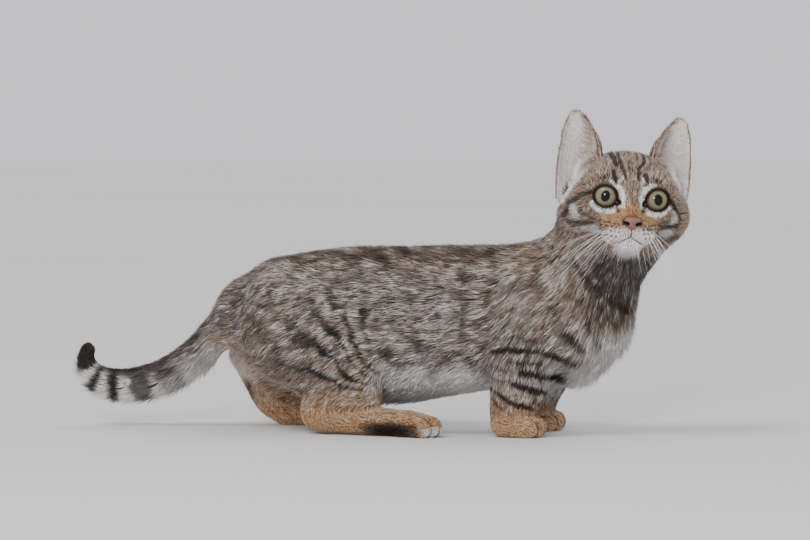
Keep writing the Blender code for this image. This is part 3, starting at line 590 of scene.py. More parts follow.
def hairLie(points, normals, shares):
    x, _, z = points.T
    still = np.zeros(len(points))
    chest = smoothStep(96, 112, x)
    low = smoothStep(50, 28, z)
    onBody = np.stack([-1 + 0.85 * chest + 0.25 * low, still, -0.18 - 0.9 * chest - 0.6 * low], 1)
    lies = [unit(onBody), -neck.heading(points), tail.heading(points)]
    onFoot = smoothStep(17, 9, z)[:, None]
    forward = np.tile((0.9, 0.0, -0.35), (len(points), 1))
    for side in (-1, 1):
        leg = forelegs[side].forms[0]
        lies.append(unit(leg.heading(points) * (1 - onFoot) + forward * onFoot))
    for side in (-1, 1):
        forms = hindlegs[side].forms
        parts = [forms[0], forms[2], forms[3]] if side < 0 else forms[:3]
        d = np.array([form.distance(points) for form in parts]).T
        w = np.exp(-(d - d.min(1, keepdims=True)) / 4)
        haunch = np.tile((-0.78, 0.0, -0.55), (len(points), 1))
        shank, foot = (form.heading(points) for form in parts[1:])
        lies.append(unit(haunch * w[:, :1] + shank * w[:, 1:2] + foot * w[:, 2:]))
    away = unit(points - fromHead([(40, 0, -8)]))
    crown = smoothStep(8, 26, inHead(points)[:, 2])[:, None]
    backwards = unit(headFrame[:3, :3] @ np.array((-1.0, 0, 0.15)))
    lies.append(unit(away + backwards * crown))
    lie = sum(shares[:, i:i + 1] * one for i, one in enumerate(lies))
    for side in (-1, 1):                     # combed away from the eyes
        place = np.array(eyePlace(side))
        q = points - place[:3, 3]
        gap = np.linalg.norm(q, axis=1)
        strong = smoothStep(15, 10.5, gap)[:, None] * shares[:, 7:]
        lie = lie * (1 - strong) + unit(q) * strong * 1.2
    lie = unit(lie) + 0.10 * np.stack([ripple(points, 30, s) for s in (1, 2, 3)], 1)
    return unit(lie - normals * (lie * normals).sum(1, keepdims=True))


# Markings: how dark, pale and warm each place is, and the painted shade on the belly, lower chest and throat

pattern = {                        # from one stripe or spot to the next: mm, and degrees on the thigh
    "spotColumn": 13.5, "spotRow": 15.0, "shoulder": 8.6, "thighFan": 13.0, "rump": 9.5,
    "crown": 6.4, "nape": 9.5,
    "rightFold": (4, 22), "leftFold": (-33, 29),          # where the thigh's stripes start, forward and up
}
tailRings = ((6.85, 0.3, 1), (5.85, 0.26, 1), (4.85, 0.28, 0.85), (3.95, 0.26, 0.5), (3.1, 0.22, 0.3))
padSpots = {"rows": ((-11.4, 7.4), (-13.4, 6.6), (-15.6, 7.0), (-18.0, 8.2)),
            "perRow": 5, "step": 2.1, "rise": 0.25}

# each mark is a path, its half width and its strength
faceMarks = {                                # left and up from the middle of the head
    "dark": [
        ([(-8.8, 10.8), (-10.7, 17)], 1.15, 0.95),
        ([(-8.9, 20.8), (-10.3, 26), (-9.5, 32)], 1.4, 0.95),
        ([(-4, 13.9), (-5.9, 19.5), (-7, 24), (-6, 31)], 0.95, 0.85),
        ([(-1, 15.6), (-2.1, 27), (-2, 33)], 1.7, 0.5),
        ([(2.9, 13.7), (2.8, 19.5), (6.3, 22.5), (6.4, 31)], 0.95, 0.9),
        ([(3.0, 24), (2.6, 32)], 1.0, 0.6), ([(7.5, 11.1), (7.2, 16.5)], 1.2, 0.9),
        ([(9.6, 20), (9.8, 31)], 1.0, 0.6), ([(-13.5, 21), (-13.8, 30)], 1.0, 0.5),
        ([(-17, 13.2), (-14, 14.2)], 1.2, 0.75), ([(15, 13.2), (12.3, 14.2)], 1.2, 0.75),
        ([(-21.6, 5.2), (-26, 3), (-31.1, -1.2), (-33.5, -9)], 1.25, 0.95),
        ([(19.4, 4.8), (23.9, 1), (27.5, -5.6)], 1.25, 0.95),
        ([(-28.8, -2.5), (-24.8, -7.3), (-18.9, -9.2)], 1.0, 0.7),
        ([(24, -4), (21, -8), (16.5, -9.5)], 1.0, 0.6),
        ([(-31, -11.6), (-25, -12.2), (-20.2, -11.3)], 1.25, 0.9),
        ([(17.6, -11.3), (26.8, -9.5)], 1.25, 0.85),
        ([(-34, -17), (-26, -18.5)], 1.7, 0.6), ([(29, -15), (21, -17)], 1.7, 0.6),
        ([(-8.0, -1.6), (-7.0, -4.2)], 1.1, 0.85), ([(7.4, -1.2), (6.5, -3.6)], 1.1, 0.85),
    ],
    "white": [
        ([(-8.6, 9.6), (-6.4, 7.8), (-5.2, 2.4), (-5.8, -1)], 1.6, 1.0),
        ([(8, 9.4), (6.2, 7.6), (5.2, 2.4), (5.6, -0.6)], 1.6, 1.0),
        ([(-12.6, 11.4), (-8.6, 10), (-5.6, 14)], 0.9, 0.6), ([(12, 11.4), (8.4, 10), (5.0, 14)], 0.9, 0.6),
        ([(-20.4, -1.5), (-15.8, -4.4), (-10.4, -4.2)], 1.9, 0.95),
        ([(20, -1.2), (15.4, -4.4), (10.2, -4.0)], 1.9, 0.95),
        ([(-29.6, -3.6), (-28.4, -7.6)], 2.2, 0.6), ([(24.6, -3.6), (24.0, -7.6)], 1.9, 0.6),
        ([(-23, -14.2), (-17, -14.8)], 1.8, 0.5), ([(23, -14), (18, -14.8)], 1.8, 0.5),
    ],
}
sideMarks = {                                # forward and up, on both sides of the kitten
    "neck": [
        ([(101, 96), (104.6, 90.6), (110.8, 82.3), (115.6, 76.3), (121.8, 70.4), (128.6, 65.8)], 2.5, 1.0),
        ([(113, 91), (115.6, 87.6), (120.4, 81), (125.8, 75.7), (127, 71)], 1.7, 0.85),
        ([(105.3, 84.3), (111.4, 75.7), (114.8, 69), (118.3, 62.4), (120.4, 59)], 1.5, 0.8),
        ([(111.4, 64.5), (114.8, 58.5), (116.2, 53.8)], 1.5, 0.65),
        ([(107, 63), (110.4, 56), (111, 49)], 2.1, 0.75),
        ([(95, 55), (99.2, 52.5), (102.6, 47)], 2.6, 0.9),
        ([(82, 105), (87.5, 102), (92.9, 96.9), (99.7, 91.6)], 1.8, 0.8),
        ([(76, 103), (80.6, 100.5), (86, 95.6), (92, 89)], 1.7, 0.65),
        ([(94, 78), (98.4, 75.7), (103.9, 72.4)], 1.7, 0.5), ([(88, 70), (94, 68), (99, 64)], 1.6, 0.5),
        ([(72, 98), (77, 93), (84, 87)], 1.6, 0.5), ([(92, 62), (97, 60)], 1.6, 0.5),
    ],
    "foreleg": [
        ([(56, 60), (66, 60.5), (74, 59)], 1.5, 0.45), ([(80, 60), (88, 58), (93, 55)], 1.5, 0.5),
        ([(58, 53.5), (74, 53), (88, 51)], 1.5, 0.6),
        ([(57, 46), (66, 47), (76, 46.6), (86, 45.6), (94, 42), (100, 38)], 2.4, 1.0),
        ([(67, 41), (76, 40.2), (83, 39.6)], 1.4, 0.85), ([(55, 37.5), (62, 36), (68, 35.5)], 1.2, 0.6),
        ([(73, 34.6), (82, 33.5), (92, 32)], 2.5, 1.0), ([(54, 31.5), (60, 30.6), (67, 29.6)], 1.4, 0.7),
        ([(70, 28.4), (78, 25.6), (88, 22)], 2.5, 1.0),
        ([(55, 26.6), (63, 21.6), (71, 17.8), (78, 15.6)], 1.8, 0.95),
        ([(56, 20), (64, 15)], 1.5, 0.6), ([(80, 18.5), (88, 16)], 1.5, 0.65),
    ],
}


def strokes(at, marks, wider=1.0):           # the strongest of several lines at each point of a flat view
    best = np.zeros(len(at))
    for path, width, strength in marks:
        path, width = np.array(path, float), width * wider
        gap = np.full(len(at), 99.0)
        for a, b in zip(path[:-1], path[1:]):
            t = np.clip(((at - a) @ (b - a)) / ((b - a) ** 2).sum(), 0, 1)
            gap = np.minimum(gap, np.linalg.norm(at - a - t[:, None] * (b - a), axis=1))
        best = np.maximum(best, smoothStep(width, width * 0.45, gap) * strength)
    return best


def stripes(at, spacing, phase=0.0):         # 1 on each stripe and -1 half way to the next
    return np.cos(2 * math.pi * at / spacing + phase)


class Places:                      # points of the body with what the markings read there
    def __init__(self, points, shares, normals):
        self.points, self.normals = points, normals
        self.x, self.y, self.z = points.T
        self.wander, self.fine = ripple(points, 34, 21), ripple(points, 13, 22)
        self.body, self.neck, self.tail = shares[:, 0], shares[:, 1], shares[:, 2]
        self.fore, self.hind, self.head = shares[:, 3:5].sum(1), shares[:, 5:7].sum(1), shares[:, 7]
        self.outwards = normals[:, 1] * np.sign(self.y)
        self.inner = smoothStep(-0.15, -0.7, self.outwards)
        front = smoothStep(98, 112, self.x + 2 * self.fine)
        self.chest = (self.body + self.neck) * front * smoothStep(90, 82, self.z)
        wavy = np.stack([ripple(points, 9, 33), ripple(points, 9, 34)], 1)
        self.profile = np.stack([self.x, self.z], 1) + 0.8 * wavy


def trunkDark(p):                  # upright rows of spots, a dark back and fine stripes on the shoulder
    along = p.x + 2.4 * p.wander + 0.10 * (p.z - 60)
    rows = stripes(p.z + 3 * p.fine, pattern["spotRow"], 2.4 * np.round(along / pattern["spotColumn"]))
    spots = 0.7 * stripes(along, pattern["spotColumn"]) + 0.3 * rows
    flank = smoothStep(-0.1, 0.8, spots + 0.25 * p.fine) * smoothStep(30, 44, p.z) * (0.56 + 0.15 * p.fine)
    spine = smoothStep(0.25, 0.9, p.normals[:, 2]) * smoothStep(80, 94, p.z) * (0.72 + 0.2 * p.fine)
    slanted = stripes(p.z + 0.45 * (p.x - 60) + 2.2 * p.wander + 1.5 * p.fine, pattern["shoulder"])
    shoulder = smoothStep(0.1, 0.8, slanted + 0.5 * p.fine)
    shoulder = shoulder * smoothStep(52, 66, p.x) * smoothStep(108, 96, p.x) * smoothStep(92, 78, p.z) * 0.42
    return p.body * np.maximum(np.maximum(flank * smoothStep(74, 52, p.x), spine), shoulder)


def haunchDark(p):                 # stripes that fan up the thigh, and the rump's mottle
    folds = zip(pattern["rightFold"], pattern["leftFold"])
    foldX, foldZ = (np.where(p.y < 0, right, left) for right, left in folds)
    lean, away = np.degrees(np.arctan2(p.z - foldZ, foldX - p.x)), np.hypot(p.z - foldZ, foldX - p.x)
    rays = stripes(lean - 0.25 * (away - 40) + 3.5 * p.wander + 2 * p.fine, pattern["thighFan"])
    fan = smoothStep(0.1, 0.75, rays + 0.3 * p.fine)
    fan = fan * np.interp(away, [8, 18, 48, 78], [0.35, 1.0, 1.0, 0.4])
    fan = fan * smoothStep(3, 10, lean) * smoothStep(78, 64, lean)
    mottle = stripes(p.z + 0.3 * p.x + 2.5 * p.wander + 2 * p.fine, pattern["rump"])
    mottle = smoothStep(0.1, 0.9, mottle + 0.5 * p.fine) * 0.42
    mottle = mottle * smoothStep(-22, -40, p.x) * smoothStep(12, 22, p.z)
    return np.maximum(fan, mottle) * smoothStep(6, 17, np.abs(p.y)) * smoothStep(-0.35, 0.2, p.outwards)


def tailMarks(p):                  # dark rings, a dark upper side and tip, and a pale underside
    at, _, offsets, _ = tail.sections(p.points)
    at, high = at / pathSteps, offsets[0] / 9
    dark = np.zeros(len(p.points))
    for place, width, strength in tailRings:
        gap = np.abs(at + 0.08 * p.fine - place)
        dark = np.maximum(dark, strength * smoothStep(width + 0.14, width - 0.08, gap))
    upper = smoothStep(-0.1, 0.75, high + 0.15 * p.fine)
    dark = np.maximum(dark, upper * np.interp(at, [0, 2, 4, 5, 7.4], [0.45, 0.65, 0.8, 1, 1]))
    dark = np.maximum(dark, smoothStep(7.55, 7.8, at))
    beforeTip = 1 - smoothStep(7.4, 7.7, at)
    under = smoothStep(0.1, -0.8, high + 0.1 * p.fine) * beforeTip
    return dark, np.clip(under * 0.5 + 0.45 * smoothStep(4.0, 5.2, at) * beforeTip, 0, 1)


# painted shade in the creases between the toes
def toeCreaseShade(points):
    paws = []
    for side in (-1, 1):
        place = Matrix.Translation((pose["forePawX"] + 1, side * pose["forePawY"], 0))
        paws.append((place, pose["forePawHalf"]))
    for point, side, middle in ((pose["rightHeel"], -1, pose["hindFootLength"] - pose["pawLength"] / 2),
                                (pose["leftBall"], 1, pose["pawLength"] / 2)):
        paws.append((footPlace(point, side) @ Matrix.Translation((middle, 0, 0)), pose["hindPawHalf"]))
    best = np.zeros(len(points))
    for place, halfWidth in paws:
        forward, left, _ = moved(points, np.array(place.inverted())).T
        gap = np.min([np.abs(left - halfWidth * k) for k in (-0.5, 0, 0.5)], axis=0)
        creaseShade = smoothStep(1.0, 0.25, gap) * smoothStep(5.5, 9.5, forward)
        creaseShade = creaseShade * smoothStep(20, 15, np.abs(forward))
        best = np.maximum(best, creaseShade * (np.abs(left) < 11))
    return best


def bodyDark(p, ringDark):
    onHaunch = np.clip(p.hind + p.body * smoothStep(-4, -14, p.x) * smoothStep(92, 74, p.z), 0, 1)
    dark = trunkDark(p) * (1 - onHaunch * 0.7) + haunchDark(p) * onHaunch
    shoulderToo = p.body * smoothStep(52, 60, p.x) * smoothStep(104, 98, p.x) * smoothStep(66, 56, p.z)
    onLeg = np.clip(p.fore + shoulderToo, 0, 1)
    outside = smoothStep(-0.45, 0.25, p.outwards + 0.35 * p.normals[:, 0])
    dark = dark * (1 - onLeg * 0.85) + onLeg * strokes(p.profile, sideMarks["foreleg"]) * outside * 1.2
    nearNeck = np.clip(p.neck + p.body * smoothStep(66, 78, p.x) + p.fore * smoothStep(46, 54, p.z), 0, 1)
    neckLines = nearNeck * strokes(p.profile, sideMarks["neck"]) * smoothStep(0.05, 0.4, p.outwards)
    dark = np.maximum(dark * (1 - 0.5 * p.neck), neckLines) * (1 - p.tail) + ringDark * p.tail
    # painted shade in the creases between the toes
    dark = np.maximum(dark, toeCreaseShade(p.points) * (p.fore + p.hind) * 0.7)
    dark = np.maximum(dark, p.fore * smoothStep(64, 56, p.x) * smoothStep(22, 12, p.z) * 0.35)
    # the dark sole and heel
    patch = np.exp(-(((p.x - 3.5) / 19) ** 4 + ((p.z - 3.6 + 0.5 * p.fine) / 4.8) ** 4))
    patch = patch * smoothStep(-29, -33, p.y) * p.hind
    heel = np.exp(-(((p.x + 100) / 8) ** 4)) * smoothStep(30, 20, p.z) * p.hind * (p.y > 0) * 0.8
    return np.maximum(dark, np.maximum(patch, heel))


def bodyPale(p, tailPale):         # belly, chest, the tail's underside, inner legs and toe tips
    pale = p.body * smoothStep(42, 27, p.z + 3 * p.fine) * smoothStep(-64, -48, p.x)
    ring = 0.77 * p.x + 0.64 * p.z + 1.3 * p.wander + 0.8 * p.fine
    frontOfChest = np.maximum(smoothStep(142, 150, ring), smoothStep(62, 50, p.z + 2 * p.fine))
    pale = np.maximum(pale, p.chest * frontOfChest * 0.85) + p.tail * tailPale
    pale += p.fore * p.inner * smoothStep(12, 24, p.z) * 0.75
    pale += p.hind * p.inner * smoothStep(14, 32, p.z) * 0.45
    toes = p.fore * smoothStep(84, 88, p.x) + p.hind * smoothStep(20, 25, p.x) * (p.y < 0)
    return np.maximum(pale, toes * smoothStep(7, 3, p.z) * 0.7)


def bodyWarm(p):                   # feet, back, sides of the chest and inner hind legs
    throat = smoothStep(0.35, 0.9, (p.normals * np.array((0.8, -0.1, -0.45))).sum(1))
    warm = p.fore * np.interp(p.z, [7, 13, 22, 34], [1.0, 0.75, 0.3, 0.12])
    warm += p.hind * np.interp(p.z, [8, 16, 26, 40], [1.0, 0.65, 0.28, 0.1])
    warm += p.body * 0.3 * smoothStep(84, 96, p.z) + p.neck * 0.2 * (1 - throat)
    warm = np.maximum(warm, p.chest * smoothStep(0.0, 0.4, np.abs(p.normals[:, 1])) * 0.45)
    rear = (p.hind * p.inner + p.body * smoothStep(-50, -62, p.x)) * smoothStep(62, 40, p.z)
    return np.maximum(warm, rear * 0.8)


def eyeRing(points):               # pale hair against the lids, most towards the nose and below
    best = np.zeros(len(points))
    for side in (-1, 1):
        q = eyeLocal(points, side)
        far = np.maximum(np.hypot(q[:, 1], q[:, 2]), 1e-3)
        share = smoothStep(-0.5, 0.3, (-side * q[:, 1] - 0.9 * q[:, 2]) / far) * (q[:, 0] > 0)
        gap = lidGap(q)
        best = np.maximum(best, share * smoothStep(0.5, 1.4, gap) * smoothStep(4.0, 2.0, gap) * 0.85)
    return best


def muzzleWhite(l, v, h):
    lips = smoothStep(0.2, -1.8, np.hypot(l, (v + 16.5) / 0.55) - 14.5) * smoothStep(14, 22, h)
    return lips * smoothStep(-10.8, -13.6, v + 0.3 * (np.abs(l) - 4))


def headMarks(p):                  # dark, pale and warm on the head, and the painted shadow under the chin on the throat
    h = inHead(p.points)
    ahead, l, v = h.T
    front = smoothStep(-12, 4, ahead)
    flat = h[:, 1:] + 0.35 * np.stack([ripple(p.points, 7, 31), ripple(p.points, 7, 32)], 1)
    dark = strokes(flat, faceMarks["dark"], 1.45) * front
    crown = smoothStep(0.2, 0.8, stripes(l, pattern["crown"], 0.7 * p.wander)) * smoothStep(26, 31, v) * 0.7
    nape = smoothStep(0.3, 0.9, stripes(l + 2 * p.wander, pattern["nape"])) * smoothStep(6, -8, ahead)
    nape = nape * smoothStep(-14, 0, v) * 0.65
    dark = np.maximum(dark, np.maximum(crown * smoothStep(20, 13, np.abs(l)), nape))
    chin = smoothStep(8.5, 6, np.hypot(l, (v + 21) * 1.05)) * front
    white = strokes(flat, faceMarks["white"], 1.4) * front
    for other in (muzzleWhite(l, v, ahead), chin, eyeRing(p.points) * front):
        white = np.maximum(white, other)
    spots = np.zeros(len(l))
    for up, left in padSpots["rows"]:
        for k in range(padSpots["perRow"]):
            gap = np.hypot(np.abs(l) - left - padSpots["step"] * k, v - up - padSpots["rise"] * k)
            spots = np.maximum(spots, smoothStep(0.95, 0.45, gap))
    dark = np.maximum(dark * (1 - white * 0.4), spots * 0.8 * front)
    bridge = smoothStep(8.6, 5.4, np.abs(l) + 0.2 * (v + 4)) * smoothStep(2.0, -2.5, v)
    bridge = bridge * smoothStep(-12, -9, v)
    pads = smoothStep(6.2, 3.0, np.abs(np.abs(l) - 10.5)) * smoothStep(-15.5, -12.5, v)
    pads = pads * smoothStep(-4.5, -7, v)
    warm = np.maximum(bridge, pads * 0.9) * front + 0.30 * front + smoothStep(0, -14, ahead) * 0.1
    lids = smoothStep(1.15, 0.4, eyeReach(p.points)) * front
    # painted shadow under the chin, on the throat
    paintedShade = smoothStep(-24, -30, v) * smoothStep(-18, -4, ahead) * smoothStep(26, 12, np.abs(l - 1))
    return np.maximum(dark, lids * 0.95), white * (1 - lids), warm * (1 - white * 0.8), paintedShade


def markings(points, shares, normals):
    p = Places(points, shares, normals)
    ringDark, tailPale = tailMarks(p)
    faceDark, faceWhite, faceWarm, throatShadow = headMarks(p)
    onHead, headAndNeck = p.head, p.head + p.neck
    # painted shade: greyer low on the belly and on the lower chest between the forelegs
    paintedShade = p.body * smoothStep(34, 22, p.z) * 0.3 + p.chest * smoothStep(62, 52, p.z) * 0.35
    marks = {"dark": bodyDark(p, ringDark) * (1 - onHead) + onHead * faceDark,
             "pale": bodyPale(p, tailPale) * (1 - onHead) + onHead * faceWhite,
             "warm": bodyWarm(p) * (1 - onHead) + onHead * faceWarm,
             "paintedShade": np.maximum(paintedShade * (1 - onHead), headAndNeck * throatShadow)}
    # the painted shadow under the chin also darkens the throat and takes its pale away
    marks["dark"] = np.maximum(marks["dark"], headAndNeck * throatShadow * 0.6)
    marks["pale"] = marks["pale"] * (1 - throatShadow * p.neck)
    return {name: np.clip(values, 0, 1) for name, values in marks.items()}


def earParts(points):              # how far each point is an ear, its inside, and its tan rim
    outOfHead = np.minimum(field(points, skull), neck.distance(points))
    best = {name: np.zeros(len(points)) for name in ("ear", "inside", "rim")}
    h = inHead(points)
    # the ear's edge beside the crown, and how wide the hair is tan from there
    edge = np.interp(h[:, 2], [10, 20, 29, 35, 41, 46], [9.5, 11.6, 13.2, 16.5, 19.9, 23.4])
    band = np.interp(h[:, 2], [12, 20, 28, 42], [15, 13, 9, 4])
    for side in (-1, 1):
        back, hollow = (form.distance(points) for form in ears[side])
        near = smoothStep(2.0, 0.8, np.maximum(back, -hollow)) * smoothStep(-0.2, 1.2, outOfHead)
        dip = np.minimum(hollow, earDips[side].distance(points) + 1.0)
        bowl = smoothStep(1.6, 0.2, dip) * smoothStep(6, 3, outOfHead)
        facing = smoothStep(-0.3, 0.3, np.abs(back) - np.abs(hollow))
        inside = np.maximum(near * facing, bowl)
        rim = near * np.exp(-(np.abs(back) + np.abs(hollow)) / 0.8)
        close = near > 0.01
        _, _, offsets, _ = ears[side][1].sections(ears[side][1].local(points[close]))
        rim[close] = np.maximum(rim[close], smoothStep(-0.2, 1.2, offsets[0]) * near[close] * 0.9)
        outwards = side * (h[:, 1] - earSizes["shift"])
        tan = smoothStep(edge + band, edge + 0.4 * band, outwards) * (outwards > 0)
        for name, values in (("ear", np.maximum(near, bowl)), ("inside", inside),
                             ("rim", np.maximum(rim, inside * tan * 0.9))):
            best[name] = np.maximum(best[name], values)
    return best


def earTone(name, rim):            # the ears' own marks in place of the body's
    return {"warm": 0.35 + 0.35 * rim, "pale": 0.3 * rim}.get(name, 0)


# Materials

coatColours = {                    # as seen, 0 to 255
    "silver": (240, 234, 232), "fawn": (152, 140, 132), "brown": (106, 93, 85), "umber": (44, 35, 31),
    "dark": (18, 13, 11), "bark": (42, 31, 24), "white": (255, 253, 252), "cream": (234, 224, 216),
    "tan": (198, 152, 104), "deepTan": (132, 90, 56), "smoke": (108, 103, 104),
    "earDown": (255, 255, 255), "earSkin": (240, 226, 228),
}


def linear(colour):
    c = np.array(colour) / 255
    return (*np.where(c < 0.04045, c / 12.92, ((c + 0.055) / 1.055) ** 2.4), 1)


class Shading:                     # short hands for building a material's nodes
    def __init__(self, name, roughness, sheen=0.0, specular=0.35):
        self.material = bpy.data.materials.new(name)
        self.material.use_nodes = True
        self.tree = self.material.node_tree
        self.shader = self.tree.nodes["Principled BSDF"]
        self.shader.inputs["Roughness"].default_value = roughness
        self.shader.inputs["Sheen Weight"].default_value = sheen
        self.shader.inputs["Sheen Roughness"].default_value = 0.5
        self.shader.inputs["Specular IOR Level"].default_value = specular

    def node(self, kind, **settings):
        made = self.tree.nodes.new("ShaderNode" + kind)
        for key, value in settings.items():
            setattr(made, key, value)
        return made

    def link(self, a, b):
        self.tree.links.new(a, b)

    def attribute(self, name):
        return self.node("Attribute", attribute_name=name).outputs["Fac"]

    def math(self, operation, a, b, clamp=False):
        made = self.node("Math", operation=operation, use_clamp=clamp)
        for socket, value in zip(made.inputs, (a, b)):
            if hasattr(value, "is_output"):
                self.link(value, socket)
            else:
                socket.default_value = value
        return made.outputs[0]

    def mix(self, share, a, b, blend="MIX"):
        made = self.node("Mix", data_type="RGBA", blend_type=blend)
        for socket, value in zip((made.inputs[0], made.inputs[6], made.inputs[7]), (share, a, b)):
            if hasattr(value, "is_output"):
                self.link(value, socket)
            else:
                socket.default_value = value
        return made.outputs[2]

    def ramp(self, value, stops):
        made = self.node("ValToRGB")
        band = made.color_ramp
        while len(band.elements) < len(stops):
            band.elements.new(0.5)
        for element, (place, colour) in zip(band.elements, stops):
            element.position, element.color = place, linear(colour)
        self.link(value, made.inputs[0])
        return made.outputs[0]

    def noise(self, scale, detail=3.0, stretch=None):
        made = self.node("TexNoise")
        made.inputs["Scale"].default_value = scale
        made.inputs["Detail"].default_value = detail
        coordinates = self.node("TexCoord").outputs["Object"]
        if stretch:
            mapping = self.node("Mapping")
            mapping.inputs["Scale"].default_value = stretch
            self.link(coordinates, mapping.inputs["Vector"])
            coordinates = mapping.outputs[0]
        self.link(coordinates, made.inputs["Vector"])
        return made.outputs["Fac"]

    def colour(self, socket):
        self.link(socket, self.shader.inputs["Base Color"])

    def bump(self, height, strength, distance):
        made = self.node("Bump")
        made.inputs["Strength"].default_value = strength
        made.inputs["Distance"].default_value = distance
        self.link(height, made.inputs["Height"])
        self.link(made.outputs[0], self.shader.inputs["Normal"])


def coatShade(shading, fleck, along):        # the ticked tabby colours from the marking attributes
    c = coatColours
    tipped = shading.math("MULTIPLY", shading.math("SUBTRACT", along, 0.5), 0.34)
    level = shading.math("ADD", shading.math("ADD", shading.math("MULTIPLY", fleck, 0.9), 0.03), tipped, True)
    ticked = shading.ramp(level, [(0.1, c["umber"]), (0.34, c["brown"]), (0.62, c["fawn"]),
                                  (0.92, c["silver"])])
    tan = shading.ramp(level, [(0.1, c["deepTan"]), (0.5, c["tan"]), (0.95, c["cream"])])
    pale = shading.ramp(level, [(0.0, c["smoke"]), (0.16, c["cream"]), (0.45, c["white"])])
    # the smoky tones that the painted shade mixes in
    smoke = shading.ramp(level, [(0.1, c["umber"]), (0.6, c["smoke"]), (0.95, c["cream"])])
    mixed = shading.mix(shading.attribute("warm"), ticked, tan)
    mixed = shading.mix(shading.attribute("pale"), mixed, pale)
    # painted shade: greyer on the shaded belly, lower chest and throat
    mixed = shading.mix(shading.math("MULTIPLY", shading.attribute("paintedShade"), 0.75), mixed, smoke)
    insideEar = shading.mix(level, linear(c["earSkin"]), linear(c["earDown"]))
    mixed = shading.mix(shading.attribute("inside"), mixed, insideEar)
    dark = shading.attribute("dark")
    uneven = shading.math("MULTIPLY", shading.math("SUBTRACT", 0.5, fleck), 0.6)
    broken = shading.math("MULTIPLY", shading.math("ADD", dark, uneven), 1.6, True)
    strength = shading.math("MULTIPLY", dark, broken, True)
    return shading.mix(strength, mixed, shading.ramp(level, [(0.0, c["dark"]), (0.85, c["bark"])]))


def coatMaterial():
    shading = Shading("tickedCoat", 0.68, sheen=0.04, specular=0.22)
    fleck, along = shading.attribute("fleck"), shading.attribute("along")
    # painted shade: each tuft darker towards its root, where the coat shades itself; less so on pale hair and
    # inside the ears
    light = shading.math("MAXIMUM", shading.attribute("pale"), shading.attribute("inside"))
    bright = shading.math("ADD", 0.34, shading.math("MULTIPLY", light, 0.3))
    fromRoot = shading.math("ADD", bright, along, True)
    shadow = shading.ramp(fromRoot, [(0, (0, 0, 0)), (1, (255, 255, 255))])
    shading.colour(shading.mix(1.0, coatShade(shading, fleck, along), shadow, "MULTIPLY"))
    return shading.material


def skinMaterial():
    shading = Shading("hairedSkin", 0.85, specular=0.15)
    fleck = shading.noise(900, 4)
    shade = coatShade(shading, fleck, shading.attribute("along"))
    # painted shade: the skin darkened where it lies under the coat, but not inside the ears
    shadedSkin = shading.mix(1.0, shade, linear((150, 140, 132)), "MULTIPLY")
    shading.colour(shading.mix(shading.attribute("under"), shade, shadedSkin))
    shading.bump(shading.noise(1400, 3), 0.35, 0.0006)
    return shading.material


# Meshes from arrays

def meshFrom(name, points, triangles):
    data = bpy.data.meshes.new(name)
    data.vertices.add(len(points))
    data.vertices.foreach_set("co", (points * mm + np.array(shift)).astype(np.float32).ravel())
    data.loops.add(triangles.size)
    data.loops.foreach_set("vertex_index", triangles.astype(np.int32).ravel())
    data.polygons.add(len(triangles))
    data.polygons.foreach_set("loop_start", np.arange(0, triangles.size, 3, dtype=np.int32))
    data.update(calc_edges=True)
    data.shade_smooth()
    return newObject(name, data)


def addAttribute(obj, name, values):
    attribute = obj.data.attributes.new(name, "FLOAT", "POINT")
    attribute.data.foreach_set("value", np.asarray(values, np.float32))


def finished(piece, material):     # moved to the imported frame, smooth and with its material
    piece.data.materials.append(material)
    piece.data.transform(Matrix.Translation(shift))
    piece.data.shade_smooth()
    return piece


def dress(piece, slot, *nodes):
    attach(piece, bodyRig)
    if nodes:
        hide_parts(*nodes)


# The skin

skin = makeSkin()
skinPoints, skinNormals = vertexArrays(skin)
skinShares = regionShares(skinPoints)
skinMarks = markings(skinPoints, skinShares, skinNormals)
skinEar = earParts(skinPoints)
for name, values in skinMarks.items():
    addAttribute(skin, name, blended(values, earTone(name, skinEar["rim"]), skinEar["ear"]))
addAttribute(skin, "inside", skinEar["inside"] * (1 - skinEar["rim"]))
addAttribute(skin, "along", np.full(len(skinPoints), 0.45))
# painted shade under the coat: 1 where the skin is darkened, 0 inside the ears
addAttribute(skin, "under", 1 - skinEar["inside"])
bpy.context.view_layer.objects.active = skin
skin.select_set(True)
skin.data.uv_layers.new(name="OFBake")
bpy.ops.object.mode_set(mode="EDIT")
bpy.ops.mesh.select_all(action="SELECT")
bpy.ops.uv.smart_project(angle_limit=1.15, island_margin=0.004)
bpy.ops.object.mode_set(mode="OBJECT")
print("skin", len(skin.data.vertices), "points")


# The coat, tuft by tuft

tuftSizes = {
    "lockShare": 0.11, "lockStretch": 0.36, "strayShare": 0.05, "inOnePiece": 19500,
    "onEar": 2.6, "sunk": 0.25,
    "patch": 0.003,                # width of each tuft's patch on the skin's unwrap
}
tuftFaces = np.array([(0, 2, 1), (0, 1, 4), (0, 4, 3), (1, 2, 5), (1, 5, 4), (2, 0, 3), (2, 3, 5),
                      (3, 4, 6), (4, 5, 6), (5, 3, 6)])
tuftAlong = np.array([0, 0, 0, 0.55, 0.55, 0.55, 1.0])
tuftPatch = np.array([(0, 0), (0.8, 0), (0.4, 0.1), (0, 0.5), (1, 0.5), (0.5, 0.6), (0.5, 1)])


def tuftDensity():
    density = byRegion(skinShares, coat["density"])
    fromNose = np.linalg.norm(inHead(skinPoints) - noseTip, axis=1)
    bare = smoothStep(2.4, 4.4, fromNose) * smoothStep(0.4, 1.2, eyeReach(skinPoints))
    onHead = skinShares[:, 7]
    density = density * (1 - onHead * (1 - bare))
    density = density * (1 + 0.8 * onHead * smoothStep(34, 14, fromNose))
    low = skinShares[:, 3:7].sum(1) * smoothStep(18, 8, skinPoints[:, 2])
    density = density * (1 + 0.7 * low)
    density = density * smoothStep(0.2, 0.9, skinPoints[:, 2])            # none under the feet
    return blended(density, 2.0, skinEar["ear"])


